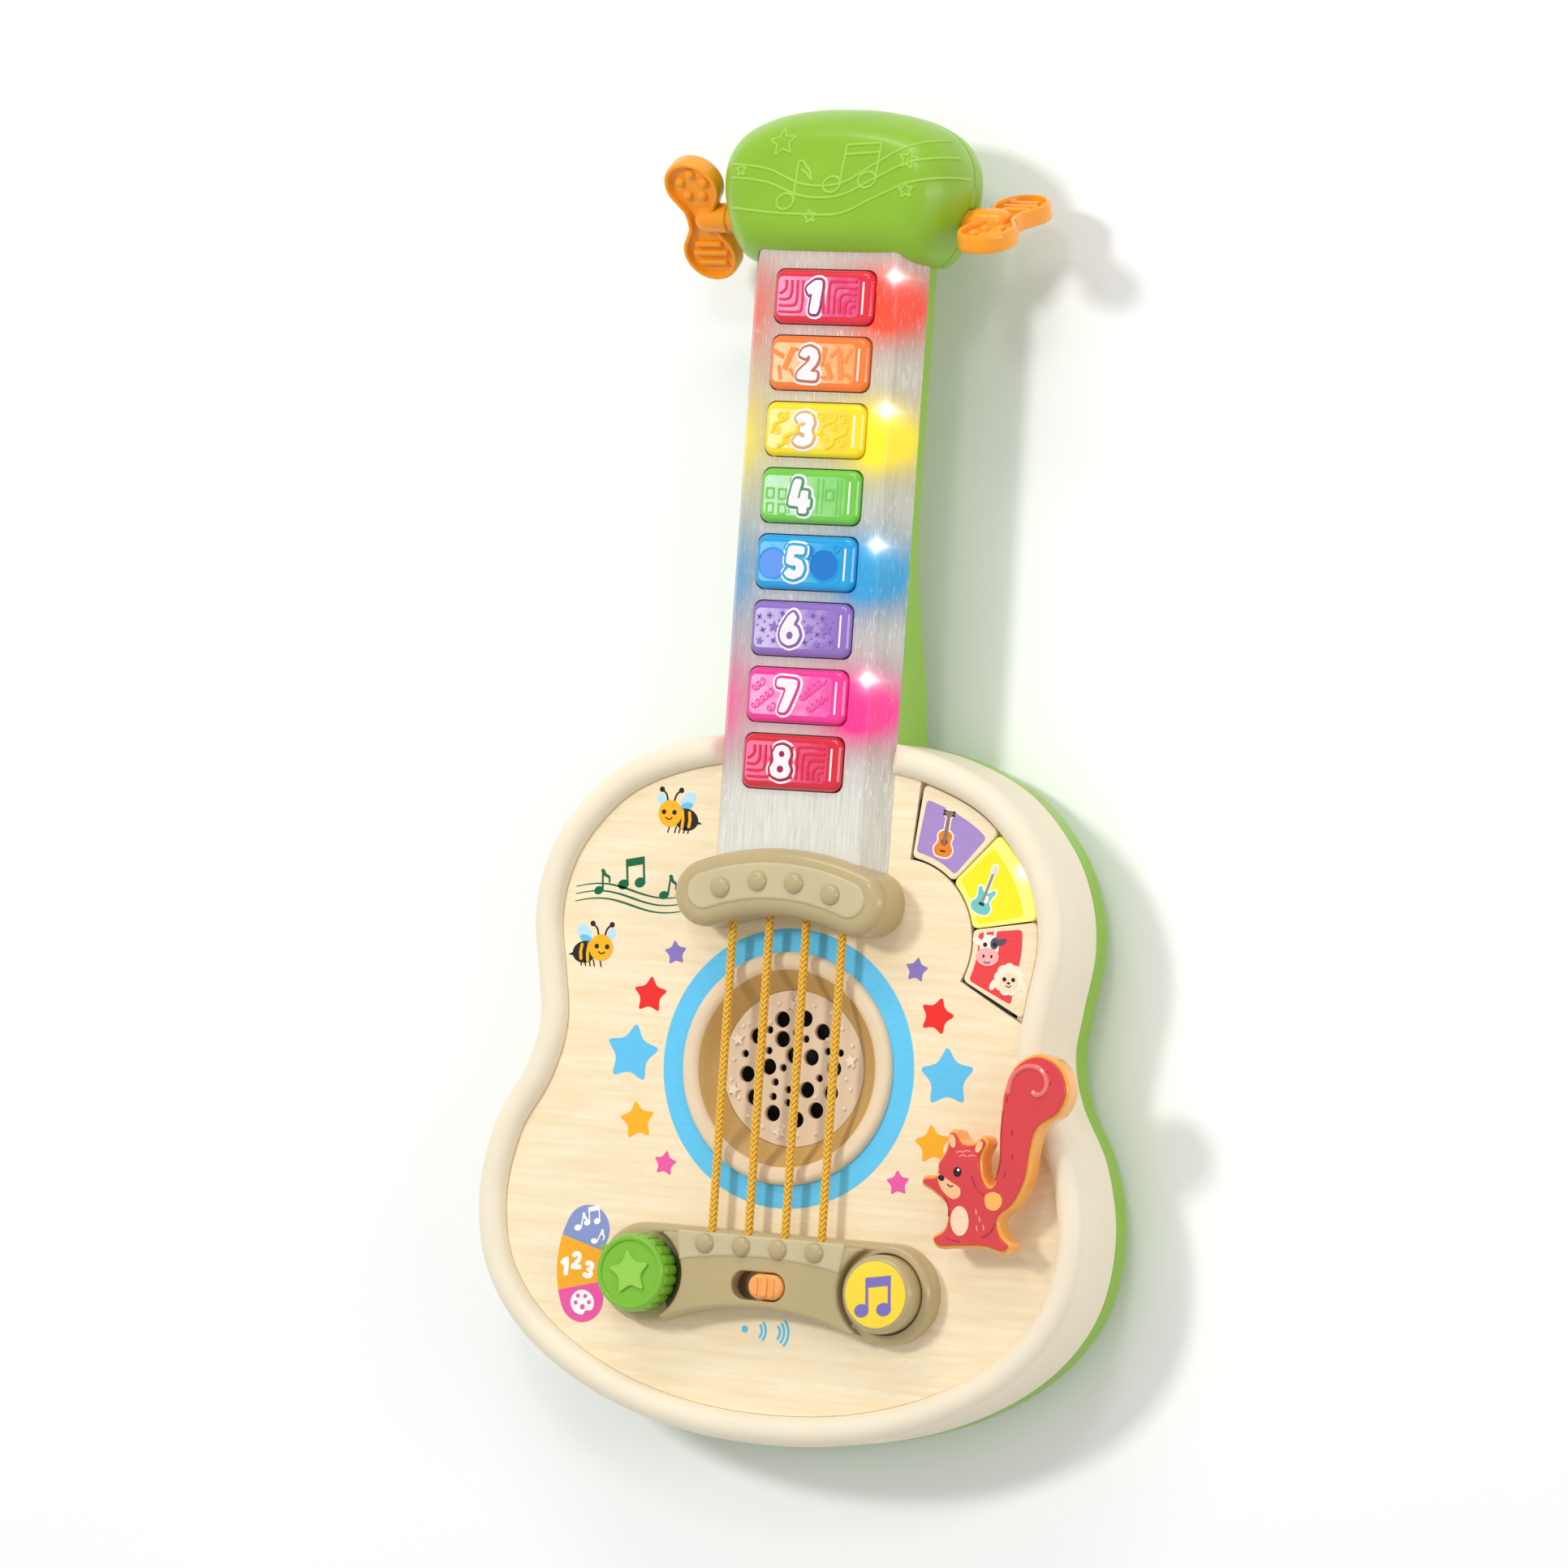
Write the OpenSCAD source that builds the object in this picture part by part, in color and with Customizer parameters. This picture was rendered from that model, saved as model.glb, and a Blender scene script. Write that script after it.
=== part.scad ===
// Toy guitar for small children, with lights, number keys, strings and a swinging lever.
// It lies on its back: +Z points out of the face, +Y to the headstock, +X to the right.
// Inside place() the origin is the middle of the sound hole on the front of the wood panel.

/* [Body] */
// Depth of the body from its back to the front of the wood panel
body_depth = 42; // [38:1:50]
// Depth of the cream side wall below the panel's front
bezel_wall = 24; // [18:1:26]
// Width of the rounded rim
rim_w = 10; // [8:0.5:12]
// Wall thickness of the mouldings
wall = 2.4; // [1.6:0.1:3]
// Thickness of the wood panel
panel_t = 3; // [2:0.5:4]

/* [Neck] */
// Half width of the neck cover at its foot
neck_half_w = 32.5; // [28:0.5:36]
// Half width of the flat top of the neck cover
neck_top_half_w = 27; // [24:0.5:30]
// Height of the neck cover above the panel
neck_h = 11.5; // [10:0.5:14]
// Depth of the neck behind the panel's front
neck_depth = 15; // [12:1:18]
// Depth of the heel where the neck meets the body
heel_depth = 33; // [24:1:36]

/* [Headstock] */
// Depth of the headstock's front half, from the seam
head_front_d = 22.5; // [18:0.5:24]
// Depth of the headstock's rear half, from the seam
head_rear_d = 18; // [15:1:20]
// Rounding of the headstock's edges
head_round = 15; // [10:1:16]

/* [Number keys] */
// Length of a key across the neck
key_l = 37; // [30:0.5:38]
// Width of a key along the neck
key_w = 18.2; // [14:0.1:19]
// Distance between keys
key_pitch = 22.3; // [21.5:0.1:24]
// How far a key travels
key_travel = 1.8; // [1:0.1:2]

/* [Strings] */
// Distance between strings
string_gap = 13.7; // [12:0.1:14]
// Radius of a string
string_r = 1.55; // [1:0.05:1.7]
// Height of the strings above the panel
string_z = 7.2; // [6:0.1:8]

/* [Sound hole] */
// Outer radius of the sound ring
ring_r = 39.2; // [36:0.1:42]
// Radius of the speaker grille
grille_r = 26.4; // [24:0.1:28]

/* [Controls] */
// Distance of the knob and of the button from the middle
seat_x = 45.5; // [42:0.5:48]
// Radius of the round seats of the lower bridge
seat_r = 16.9; // [15:0.1:18]
// Radius of the music button
button_r = 13.2; // [11:0.1:13.3]
// Radius of the mode knob over its ribs
knob_r = 13.4; // [11:0.1:14]
// How far the volume slider travels
slider_travel = 6; // [4:0.5:6]
// How far the music button travels
button_travel = 2; // [1:0.1:2]

/* [Lever] */
// Height of the lever's underside above the panel
lever_z = 8; // [7:0.5:9]
// Thickness of the lever's backing
lever_t = 8; // [6:0.5:9]

/* [Tuner pegs] */
// Where the pegs turn, along the neck
tuner_y = 286; // [284:0.5:288]
// Distance from the middle to a peg's paddle
tuner_x = 56.6; // [56:0.1:58]
// Radius of each lobe of a paddle
lobe_r = 10.2; // [9:0.1:10.4]
// Half distance between the two lobes
lobe_gap = 13.6; // [12:0.1:15]

/* [Hidden] */
$fn = 48;

// The whole object is moved so that its box stands on the origin
middle_y = 98.4;
// Clearance between parts that move past each other
gap = 0.4;
// Clearance of a shaft that turns in a bore
fit = 0.05;
over = 1;

// Right half of the body's outline, from the bottom to the top
BODY_HALF = [
    [34, -123.2], [66, -113.4], [92.6, -97], [108.9, -75.6], [113.8, -50], [109.2, -25],
    [98.9, -5.5], [94.8, 10], [96.6, 26], [99.4, 45], [97, 63], [88.5, 80.3],
    [71.7, 97.2], [48, 107.6], [22, 112]
];
BODY_BOTTOM = [0, -126.2];
BODY_TOP = [0, 113];
// Right half of the headstock's outline, from the bottom to the top
HEAD_HALF = [
    [22, 269.6], [33.4, 271], [39, 276.4], [42.6, 285], [44.6, 296], [43.4, 306],
    [37.4, 314.4], [26, 320], [12, 322.5]
];
HEAD_BOTTOM = [0, 269.4];
HEAD_TOP = [0, 323];
head_seam_z = -5;
// Half of the gap at the headstock's seam
head_gap = 0.1;
head_half_w = 44.6;
head_half_l = (HEAD_TOP.y - HEAD_BOTTOM.y) / 2;
head_mid_y = (HEAD_TOP.y + HEAD_BOTTOM.y) / 2;

// Centre and inner radius of the fan of picture keys, and its four edges in degrees
fan_centre = [38, 46];
fan_r = 27.4;
fan_edges = [84, 47, 10, -27];
fan_top_z = 0.4;

// Holes of the grille
LARGE_HOLES = [
    [-5.5, 16.2], [9.8, 13], [-14.5, 10], [-5, 9.6], [3, 17], [6.3, 4.2], [-0.6, 4.4],
    [-9.4, 0], [-17.4, -3], [5.4, -6.8], [14.4, -7.2], [-14.4, -10.6], [9.3, -13.4],
    [-6.8, -15.5], [2.2, -17], [15, 1]
];
MEDIUM_HOLES = [
    [-18.6, 3.8], [-9.8, 5.4], [-0.2, 12], [3.8, 10.2], [12.2, 6.6], [-4, 0], [0.6, -3.2],
    [-6.6, -5], [-1.6, -7.2], [-7, -9.9], [-1.4, -11.6], [9.8, -2.6], [-10, 12.4], [17, 6.4]
];
large_hole_r = 2.75;
medium_hole_r = 1.3;
grille_z = -6;

// Outline of the lever: a squirrel that sits up, with a tall tail that curls at its end
LEVER_OUTLINE = [
    [87, -10], [87.6, -1], [91.4, 7.6], [99.5, 11.6], [107.6, 8.4], [111.2, 0], [108.4, -8],
    [101.6, -13], [99.6, -20], [98.4, -30], [94.6, -38.5], [89.4, -43.6], [90.6, -48.4],
    [94.2, -51.6], [91.6, -55], [84, -53.8], [75, -54.4], [67.6, -54.8], [65.2, -51.2],
    [69.4, -47.8], [69.6, -41], [64.6, -36.8], [60.2, -34.4], [60.8, -31.4], [65, -30.6],
    [65.4, -26.6], [68, -22], [68.6, -16.6], [71.6, -15.4], [74.6, -18.8], [78.4, -18.8],
    [81.2, -16.6], [83.6, -19], [81.8, -24], [82.8, -30], [85.6, -32.6], [87.2, -26]
];

// Where the lever turns
lever_pivot = [77, -43];
// Seats of the controls along the body
seat_y = -72;
bridge_top_y = -55.3;
bridge_mid_z = 11.5;
seat_z = 8;
arch_r = 102;
arch_top_y = -80.5;
// Arc of the upper bridge
bow_centre_y = -16;
bow_ro = 89.4;
bow_ri = 66.8;
bow_angle = 21.1;
bow_z = 18;
dome_r = 3.6;
first_key_y = 258.4;
key_low = neck_h - 3.5;
tuner_z = head_seam_z;
tuner_shaft_r = 4.6;
tuner_shaft_end = 34.3;
tuner_tilt = [40, -66];
board_z = -13.6;
knob_shaft_r = 3;
lever_shaft_r = 4;
screw_r = 1.35;
boss_r = 4.4;
case_screw_z = -32;
head_hole_r = 3.2;
neck_screw_z = 3 - neck_depth;
neck_boss_r = 2.6;
cell_r = 7.25;
cell_l = 50.5;
cell_z = -31;
cell_ys = [-95, -79, -63];
box_half_x = 31;
box_mid_y = -79;
box_half_y = 30;
box_wall = 2;
box_foot = 5;
door_screw_y = 27.3;
speaker_r = 29;

// ---------- functions ----------
function spline_at(a, b, c, d, t) =
    0.5 * (2 * b + (c - a) * t + (2 * a - 5 * b + 4 * c - d) * t * t
    + (3 * b - a - 3 * c + d) * t * t * t);
function closed_spline(p, n) = let (m = len(p))
    [for (i = [0 : m - 1], k = [0 : n - 1])
        spline_at(p[(i + m - 1) % m], p[i], p[(i + 1) % m], p[(i + 2) % m], k / n)];
function mirrored(bottom, half, top) =
    concat([bottom], half, [top], [for (i = [len(half) - 1 : -1 : 0]) [-half[i].x, half[i].y]]);
function outward(p, i) = let (m = len(p), d = p[(i + 1) % m] - p[(i + m - 1) % m])
    [d.y, -d.x] / norm(d);
function inset(p, d) = [for (i = [0 : len(p) - 1]) p[i] - d * outward(p, i)];
// Outline of the headstock, s.x in from its edge, at the height s.y
function head_ring(s) = [for (q = HEAD)
    [q.x * (1 - s.x / head_half_w), head_mid_y + (q.y - head_mid_y) * (1 - s.x / head_half_l), s.y]];
// Points of an arc in a plane, from angle a to angle b in n steps
function arc(c, r, a, b, n) =
    [for (k = [0 : n]) let (t = a + (b - a) * k / n) c + r * [cos(t), sin(t)]];
function reversed(p) = [for (i = [len(p) - 1 : -1 : 0]) p[i]];
function smooth(t) = let (u = min(max(t, 0), 1)) u * u * (3 - 2 * u);
// Points of the wedge of the fan between two angles, out to a radius
function wedge(a, b, r) = concat([fan_centre], arc(fan_centre, r, b, a, 8));

BODY = closed_spline(mirrored(BODY_BOTTOM, BODY_HALF, BODY_TOP), 3);
HEAD = closed_spline(mirrored(HEAD_BOTTOM, HEAD_HALF, HEAD_TOP), 3);
LEVER = closed_spline(reversed(LEVER_OUTLINE), 3);
// Places along the outline that carry the case screws
SCREWS = [for (i = [7, 17, 28, 39, 57, 68, 79, 89]) inset(BODY, 10)[i]];
NECK_SCREWS = [for (i = [0.5, 2.5], x = [-23, 23]) [x, first_key_y - key_pitch * i]];
STRING_X = [for (i = [0 : 3]) (i - 1.5) * string_gap];

// ---------- helpers ----------
module place() {
    translate([0, -middle_y, body_depth]) children();
}

module rounded(w, h, r) {
    square([w - 2 * r, h], center = true);
    square([w, h - 2 * r], center = true);
    for (x = [-1, 1], y = [-1, 1]) translate([x * (w / 2 - r), y * (h / 2 - r)]) circle(r);
}

module slab(z0, z1) {
    translate([0, 0, z0]) linear_extrude(z1 - z0) children();
}

module rod(r, z0, z1) {
    translate([0, 0, z0]) cylinder(r = r, h = z1 - z0);
}

module box(x0, x1, y0, y1, z0, z1) {
    translate([x0, y0, z0]) cube([x1 - x0, y1 - y0, z1 - z0]);
}

// A moulding whose section, as [distance in from the outline, height], follows a closed outline
module ring_sweep(path, section) {
    n = len(path);
    m = len(section);
    points = [for (i = [0 : n - 1], s = section)
        let (q = path[i] - s.x * outward(path, i)) [q.x, q.y, s.y]];
    faces = [for (i = [0 : n - 1], j = [0 : m - 1])
        let (a = i * m, b = ((i + 1) % n) * m, k = (j + 1) % m)
        each [[a + j, a + k, b + k], [a + j, b + k, b + j]]];
    polyhedron(points, faces, convexity = 8);
}

// A solid through rings of points, closed at its first and last ring
module loft(rings) {
    n = len(rings);
    m = len(rings[0]);
    side = [for (i = [0 : n - 2], j = [0 : m - 1])
        let (a = i * m + j, b = i * m + (j + 1) % m, c = b + m, d = a + m)
        each [[a, c, b], [a, d, c]]];
    first = [for (j = [0 : m - 1]) j];
    last = [for (j = [m - 1 : -1 : 0]) (n - 1) * m + j];
    polyhedron([for (r = rings) each r], concat([first], side, [last]), convexity = 8);
}

// A round wire through points
module wire(p, r) {
    n = len(p);
    sides = 8;
    rings = [for (i = [0 : n - 1])
        let (t = p[min(i + 1, n - 1)] - p[max(i - 1, 0)], w = t / norm(t),
            u0 = cross(w, abs(w.z) > 0.9 ? [1, 0, 0] : [0, 0, 1]), u = u0 / norm(u0), v = cross(w, u))
        [for (k = [0 : sides - 1]) p[i] + r * (u * cos(360 * k / sides) + v * sin(360 * k / sides))]];
    loft(rings);
}
// The curve of a wire through a few points
function curve(p, n) = concat([for (i = [0 : len(p) - 2], k = [0 : n - 1])
    spline_at(p[max(i - 1, 0)], p[i], p[i + 1], p[min(i + 2, len(p) - 1)], k / n)], [p[len(p) - 1]]);

// ---------- housing ----------
module boss_holes() {
    for (s = SCREWS) translate([s.x, s.y]) {
        rod(screw_r + 0.4, -body_depth - over, -bezel_wall + over);
        rod(head_hole_r, -body_depth - over, case_screw_z);
    }
}

module rear_shell() {
    r = 12;
    top_z = -bezel_wall - 0.2;
    low_z = -body_depth;
    section = concat(
        arc([r, low_z + r], r, 270, 180, 5), [[0, top_z], [wall, top_z]],
        arc([r, low_z + r], r - wall, 180, 270, 5));
    color("yellowgreen") place() {
        difference() {
            union() {
                ring_sweep(BODY, section);
                slab(low_z, low_z + wall) polygon(inset(BODY, r));
                for (s = SCREWS) translate([s.x, s.y]) rod(boss_r, low_z + 2, top_z);
            }
            boss_holes();
            slab(low_z - over, low_z + wall + over) translate([0, box_mid_y]) rounded(65, 63, 6);
            for (x = [-21 : 7 : 21]) box(x - 1, x + 1, 4, 24, low_z - over, low_z + wall + over);
        }
    }
}
// Ring of the neck at y, e in from its outside, up to height top
function neck_ring(y, e, top) = let (
        d = neck_depth + (heel_depth - neck_depth) * smooth((185 - y) / 78),
        w = neck_half_w - 0.2, r = 12, o = [w - r, r - d])
    [for (q = concat(
        [[w - e, top]], arc(o, r - e, 0, -90, 5), arc([-o.x, o.y], r - e, -90, -180, 5), [[e - w, top]]))
        [q.x, y, q.y]];

module neck_rear() {
    heel_ys = [for (y = [106 : 5 : 186]) y];
    color("yellowgreen") place() {
        difference() {
            union() {
                difference() {
                    loft([for (y = concat(heel_ys, [282])) neck_ring(y, 0, 0)]);
                    loft([for (y = concat([100], heel_ys, [284])) neck_ring(y, wall, over)]);
                }
                for (s = NECK_SCREWS) translate([s.x, s.y]) rod(4, neck_screw_z - 0.8, -0.2);
            }
            slab(-body_depth - over, over) polygon(inset(BODY, -0.2));
            for (s = NECK_SCREWS) translate([s.x, s.y]) {
                rod(screw_r + gap, -neck_depth - over, over);
                rod(head_hole_r, -neck_depth - over, neck_screw_z);
            }
        }
    }
}

// Half of the headstock as a cup of some depth, open towards the seam
module head_cup(depth) {
    side = 3;
    r = head_round;
    quarter = arc([0, 0], 1, 180, 90, 6);
    outer = [for (q = quarter) [r + r * q.x, side + (depth - side) * q.y]];
    inner = [for (q = quarter) [r + (r - wall) * q.x, side + (depth - side - wall) * q.y]];
    loft([for (q = concat(reversed(inner), [[wall, head_gap], [0, head_gap]], outer)) head_ring(q)]);
}

module neck_passage() {
    translate([0, 0, -head_seam_z]) {
        box(-neck_half_w - 0.1, neck_half_w + 0.1, 260, 283, -neck_depth - 0.3, neck_h + 0.3);
    }
}

module shaft_holes() {
    translate([-60, tuner_y, 0]) rotate([0, 90, 0]) cylinder(r = tuner_shaft_r + 0.2, h = 120);
}

module head_front() {
    color("yellowgreen") place() translate([0, 0, head_seam_z]) {
        difference() {
            head_cup(head_front_d);
            neck_passage();
            shaft_holes();
        }
    }
}

module head_rear() {
    color("yellowgreen") place() translate([0, 0, head_seam_z]) {
        difference() {
            mirror([0, 0, 1]) head_cup(head_rear_d);
            neck_passage();
            shaft_holes();
        }
    }
}

module front_bezel() {
    rise = rim_w / 2;
    ledge = rim_w + 4;
    section = concat(
        [[0, -bezel_wall]], arc([rise, 0], rise, 180, 0, 8),
        [[rim_w, -panel_t], [ledge, -panel_t], [ledge, -panel_t - 2], [wall, -panel_t - 2]],
        [[wall, -bezel_wall]]);
    color("bisque") place() {
        difference() {
            union() {
                ring_sweep(BODY, section);
                for (s = SCREWS) translate([s.x, s.y]) rod(boss_r, -bezel_wall, -panel_t - 1);
            }
            for (s = SCREWS) translate([s.x, s.y]) rod(screw_r + fit, -bezel_wall - over, -8);
            box(-neck_half_w - 0.5, neck_half_w + 0.5, 90, 120, 0, 10);
        }
    }
}

module fan_region(margin) {
    difference() {
        intersection() {
            polygon(inset(BODY, rim_w + 0.5));
            polygon(wedge(fan_edges[0] + margin, fan_edges[3] - margin, 90));
        }
        translate(fan_centre) circle(fan_r - margin * 0.5);
    }
}

module wood_panel() {
    color("wheat") place() {
        slab(-panel_t, 0) difference() {
            polygon(inset(BODY, rim_w + 0.2));
            circle(ring_r - 4);
            fan_region(1.4);
            translate([-seat_x, seat_y]) circle(5);
            translate([seat_x, seat_y]) circle(8);
            translate([0, seat_y]) square([14, 5], center = true);
            translate(lever_pivot) circle(6.6);
            translate([12, 65]) square([12, 8], center = true);
        }
    }
}

// Section of the neck cover, grown by e on every side
module cover_section(e) {
    r = 3;
    low = e > 0 ? -over : 0;
    polygon(concat(
        [[neck_half_w + e, low]], arc([neck_top_half_w - r, neck_h - r], r + e, 20, 90, 5),
        arc([r - neck_top_half_w, neck_h - r], r + e, 90, 160, 5), [[-neck_half_w - e, low]]));
}

module along_neck(y0, y1) {
    translate([0, y1, 0]) rotate([90, 0, 0]) linear_extrude(y1 - y0) children();
}

module neck_cover() {
    color("whitesmoke") place() {
        difference() {
            union() {
                difference() {
                    along_neck(61, 281) cover_section(0);
                    along_neck(60, 282) difference() {
                        cover_section(-2);
                        translate([-50, -1]) square([100, 1]);
                    }
                    along_neck(60, 282) translate([2 - neck_half_w, -1]) square([2 * neck_half_w - 4, 3]);
                    for (i = [0 : 7]) translate([0, first_key_y - key_pitch * i]) {
                        slab(neck_h - 4, neck_h + over) rounded(key_l + 2 * gap, key_w + 2 * gap, 3.2);
                    }
                }
                for (s = NECK_SCREWS) translate([s.x, s.y]) rod(neck_boss_r, 0.2, neck_h - 1);
            }
            for (s = NECK_SCREWS) translate([s.x, s.y]) rod(screw_r + fit, 0, 7);
        }
    }
}

// ---------- bridges ----------
module bow_band(e) {
    translate([0, bow_centre_y]) rotate(90 - bow_angle) rotate_extrude(angle = 2 * bow_angle) {
        bow_section(e);
    }
    for (a = [-bow_angle, bow_angle]) {
        translate([0, bow_centre_y]) rotate(a) translate([0, (bow_ro + bow_ri) / 2]) rotate_extrude() {
            intersection() {
                translate([-(bow_ro + bow_ri) / 2, 0]) bow_section(e);
                square([40, 60]);
            }
        }
    }
}

module bow_section(e) {
    r = 4;
    z = bow_z - e;
    polygon(concat(
        [[bow_ri + e, 0], [bow_ro - e, 0]], arc([bow_ro - e - r, z - r], r, 0, 90, 6),
        arc([bow_ri + e + r, z - r], r, 90, 180, 6)));
}

module domes(z, places) {
    for (p = places) translate([p.x, p.y, z - 1.6]) intersection() {
        sphere(dome_r);
        rod(dome_r + 1, 1.4, dome_r + 1);
    }
}

module upper_bridge() {
    color("tan") place() {
        difference() {
            bow_band(0);
            translate([0, 0, -over]) bow_band(2.2);
            along_neck(60, 80) intersection() {
                cover_section(gap);
                translate([-40, -2]) square([80, 40]);
            }
            for (x = STRING_X) translate([x, 60, string_z]) rotate([90, 0, 0]) {
                cylinder(r = string_r + 0.2, h = 20);
            }
        }
        domes(bow_z, [for (i = [0 : 3]) [STRING_X[i], i == 0 || i == 3 ? 59 : 62]]);
    }
}

// Outline of the lower bridge, e in from its edge
module bridge_outline(e) {
    for (x = [-seat_x, seat_x]) translate([x, seat_y]) circle(seat_r - e);
    difference() {
        translate([-seat_x, -88.6 + e]) square([2 * seat_x, bridge_top_y + 88.6 - 2 * e]);
        translate([0, arch_top_y - arch_r]) circle(arch_r + e, $fn = 160);
    }
}

// Raised middle of the lower bridge, e in from its edge
module bridge_middle(e) {
    difference() {
        bridge_outline(e);
        for (x = [-seat_x, seat_x]) {
            translate([x, seat_y]) circle(knob_r + 2.4 + e);
            translate([x + sign(x) * 30, seat_y]) square(60, center = true);
        }
    }
}

module lower_bridge() {
    color("tan") place() {
        difference() {
            union() {
                slab(0, seat_z) bridge_outline(0);
                slab(seat_z - over, bridge_mid_z) bridge_middle(0);
                slab(bridge_mid_z - over, bridge_mid_z + 0.8) intersection() {
                    bridge_middle(0.6);
                    translate([-40, -66]) square([80, 10.2]);
                    translate([0, -66]) difference() {
                        square([90, 30], center = true);
                        translate([0, 3 - arch_r]) circle(arch_r, $fn = 160);
                    }
                }
            }
            slab(-over, seat_z - 2.2) bridge_outline(2.2);
            slab(-over, bridge_mid_z - 2.2) bridge_middle(2.2);
            translate([seat_x, seat_y]) rod(button_r + gap, -over, seat_z + over);
            translate([-seat_x, seat_y]) rod(knob_shaft_r + fit, -over, seat_z + over);
            slab(-over, bridge_mid_z + over) translate([0, seat_y - 1]) rounded(20, 9.6, 4.7);
            for (x = STRING_X) {
                translate([x, -50, string_z]) rotate([90, 0, 0]) cylinder(r = string_r + 0.2, h = 9);
            }
        }
        domes(bridge_mid_z + 0.8, [for (x = STRING_X) [x, -60.2]]);
    }
}

module guitar_string(i) {
    y0 = -61;
    y1 = 55;
    color("goldenrod") place() translate([STRING_X[i], 0, string_z]) {
        translate([0, y1, 0]) rotate([90, 0, 0]) cylinder(r = string_r, h = y1 - y0);
        for (y = [y0, y1]) translate([0, y, 0]) sphere(2);
    }
}

// ---------- speaker ----------
module sound_ring() {
    color("bisque") place() rotate_extrude() {
        polygon(concat(
            [[ring_r, 0.02]], arc([ring_r - 2.4, 0.3], 2.4, 0, 90, 5), [[35, 2.5], [33.2, 1.3]],
            [[grille_r + 0.1, grille_z + 1.8], [grille_r + 0.1, grille_z - 2]],
            [[grille_r + 2, grille_z - 2], [grille_r + 2, grille_z + 1.8], [34.4, -0.6], [34.4, 0.02]]));
    }
}

module speaker_grille() {
    color("antiquewhite") place() {
        difference() {
            rod(grille_r, grille_z, grille_z + 1.8);
            for (h = LARGE_HOLES) translate([h.x, h.y]) rod(large_hole_r, grille_z - over, 0);
            for (h = MEDIUM_HOLES) translate([h.x, h.y]) rod(medium_hole_r, grille_z - over, 0);
        }
        for (a = [10 : 24 : 350]) rotate(a) translate([22.2, 0]) rod(0.8, grille_z + 1.7, grille_z + 2.3);
    }
}

module speaker_frame() {
    z = grille_z - 2;
    color("dimgray") place() rotate_extrude() {
        polygon([[speaker_r, z], [speaker_r, z - 1.6], [26, z - 1.6], [15, z - 12], [6, z - 12],
            [6, z - 10.8], [14.2, z - 10.8], [24.6, z]]);
    }
}

module speaker_cone() {
    z = grille_z - 2;
    color("black") place() rotate_extrude() {
        polygon([[23.2, z - 0.2], [22.4, z - 0.9], [12, z - 8], [6, z - 9.6], [0, z - 7.6],
            [0, z - 8.2], [6, z - 10.2], [12.2, z - 8.7], [22.4, z - 1.6], [23.2, z - 1]]);
    }
}

module speaker_magnet() {
    z = grille_z - 14;
    color("silver") place() rod(14, z - 8, z);
}

// ---------- electronics ----------
module key_board() {
    color("darkgreen") place() difference() {
        box(-25.2, 25.2, 84, 268, 3, 4.4);
        for (s = NECK_SCREWS) translate([s.x, s.y]) rod(neck_boss_r + gap, 0, 6);
    }
}

module key_mat() {
    color("gainsboro") place() {
        box(-20, 20, 92, 268, 4.4, 5.2);
        for (i = [0 : 7]) translate([0, first_key_y - key_pitch * i]) rod(4, 5, key_low - key_travel - 0.3);
    }
}

module key_leds() {
    color("white") place() for (i = [0 : 7]) {
        translate([23.4, first_key_y - key_pitch * i]) rod(1.5, 4.4, 7.4);
    }
}

module main_board() {
    color("darkgreen") place() difference() {
        box(-66, 66, -104, -44, board_z, board_z + 1.6);
        translate([-seat_x, seat_y]) rod(3.6, board_z - over, board_z + 3);
    }
}

module board_chips() {
    color("black") place() {
        translate([20, -92]) rod(6, board_z + 1.6, board_z + 3.4);
        box(-24, -14, -98, -88, board_z + 1.6, board_z + 3.4);
        for (x = [34, 42, 50]) translate([x, -95]) rod(2.5, board_z + 1.6, board_z + 7);
    }
}

module tact_switches() {
    color("silver") place() {
        translate([seat_x, seat_y]) box(-3, 3, -3, 3, board_z + 1.6, board_z + 5);
        for (i = [0 : 2]) {
            a = (fan_edges[i] + fan_edges[i + 1]) / 2;
            translate(fan_centre + 39 * [cos(a), sin(a)]) {
                box(-3, 3, -3, 3, -13, -8.2);
                box(-7, 7, -7, 7, -14.4, -13);
            }
        }
    }
}

module mode_switch() {
    color("silver") place() translate([-seat_x, seat_y]) difference() {
        box(-7, 7, -7, 7, board_z + 1.6, board_z + 6.4);
        rod(knob_shaft_r + fit, board_z, 0);
    }
}

module volume_switch() {
    color("silver") place() translate([0, seat_y]) difference() {
        box(-9, 9, -4, 4, board_z + 1.6, board_z + 6.4);
        box(-slider_travel / 2 - 3, slider_travel / 2 + 3, -1.6, 1.6, board_z + 3, 0);
    }
}

module box_walls(e, z0, z1) {
    box(-box_half_x - e, box_half_x + e, box_mid_y - box_half_y - e, box_mid_y + box_half_y + e, z0, z1);
}

module battery_box() {
    z0 = wall - body_depth;
    color("yellowgreen") place() difference() {
        union() {
            difference() {
                union() {
                    box_walls(0, z0, -20);
                    box(-box_half_x - box_foot, box_half_x + box_foot, box_mid_y - box_half_y,
                        box_mid_y + box_half_y, z0, z0 + 1.4);
                }
                box_walls(-box_wall, z0 - over, -20 - box_wall);
            }
            for (y = [-door_screw_y, door_screw_y]) translate([0, box_mid_y + y]) rod(3.2, -38.6, -30);
        }
        for (y = [-door_screw_y, door_screw_y]) translate([0, box_mid_y + y]) {
            rod(screw_r + fit, -40, -31);
            rod(4.2, z0 - over, -38.6);
        }
    }
}

module battery_cells() {
    color("gold") place() for (y = cell_ys) translate([-cell_l / 2, y, cell_z]) rotate([0, 90, 0]) {
        cylinder(r = cell_r, h = cell_l - 1.2);
        cylinder(r = 2.6, h = cell_l);
    }
}

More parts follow.
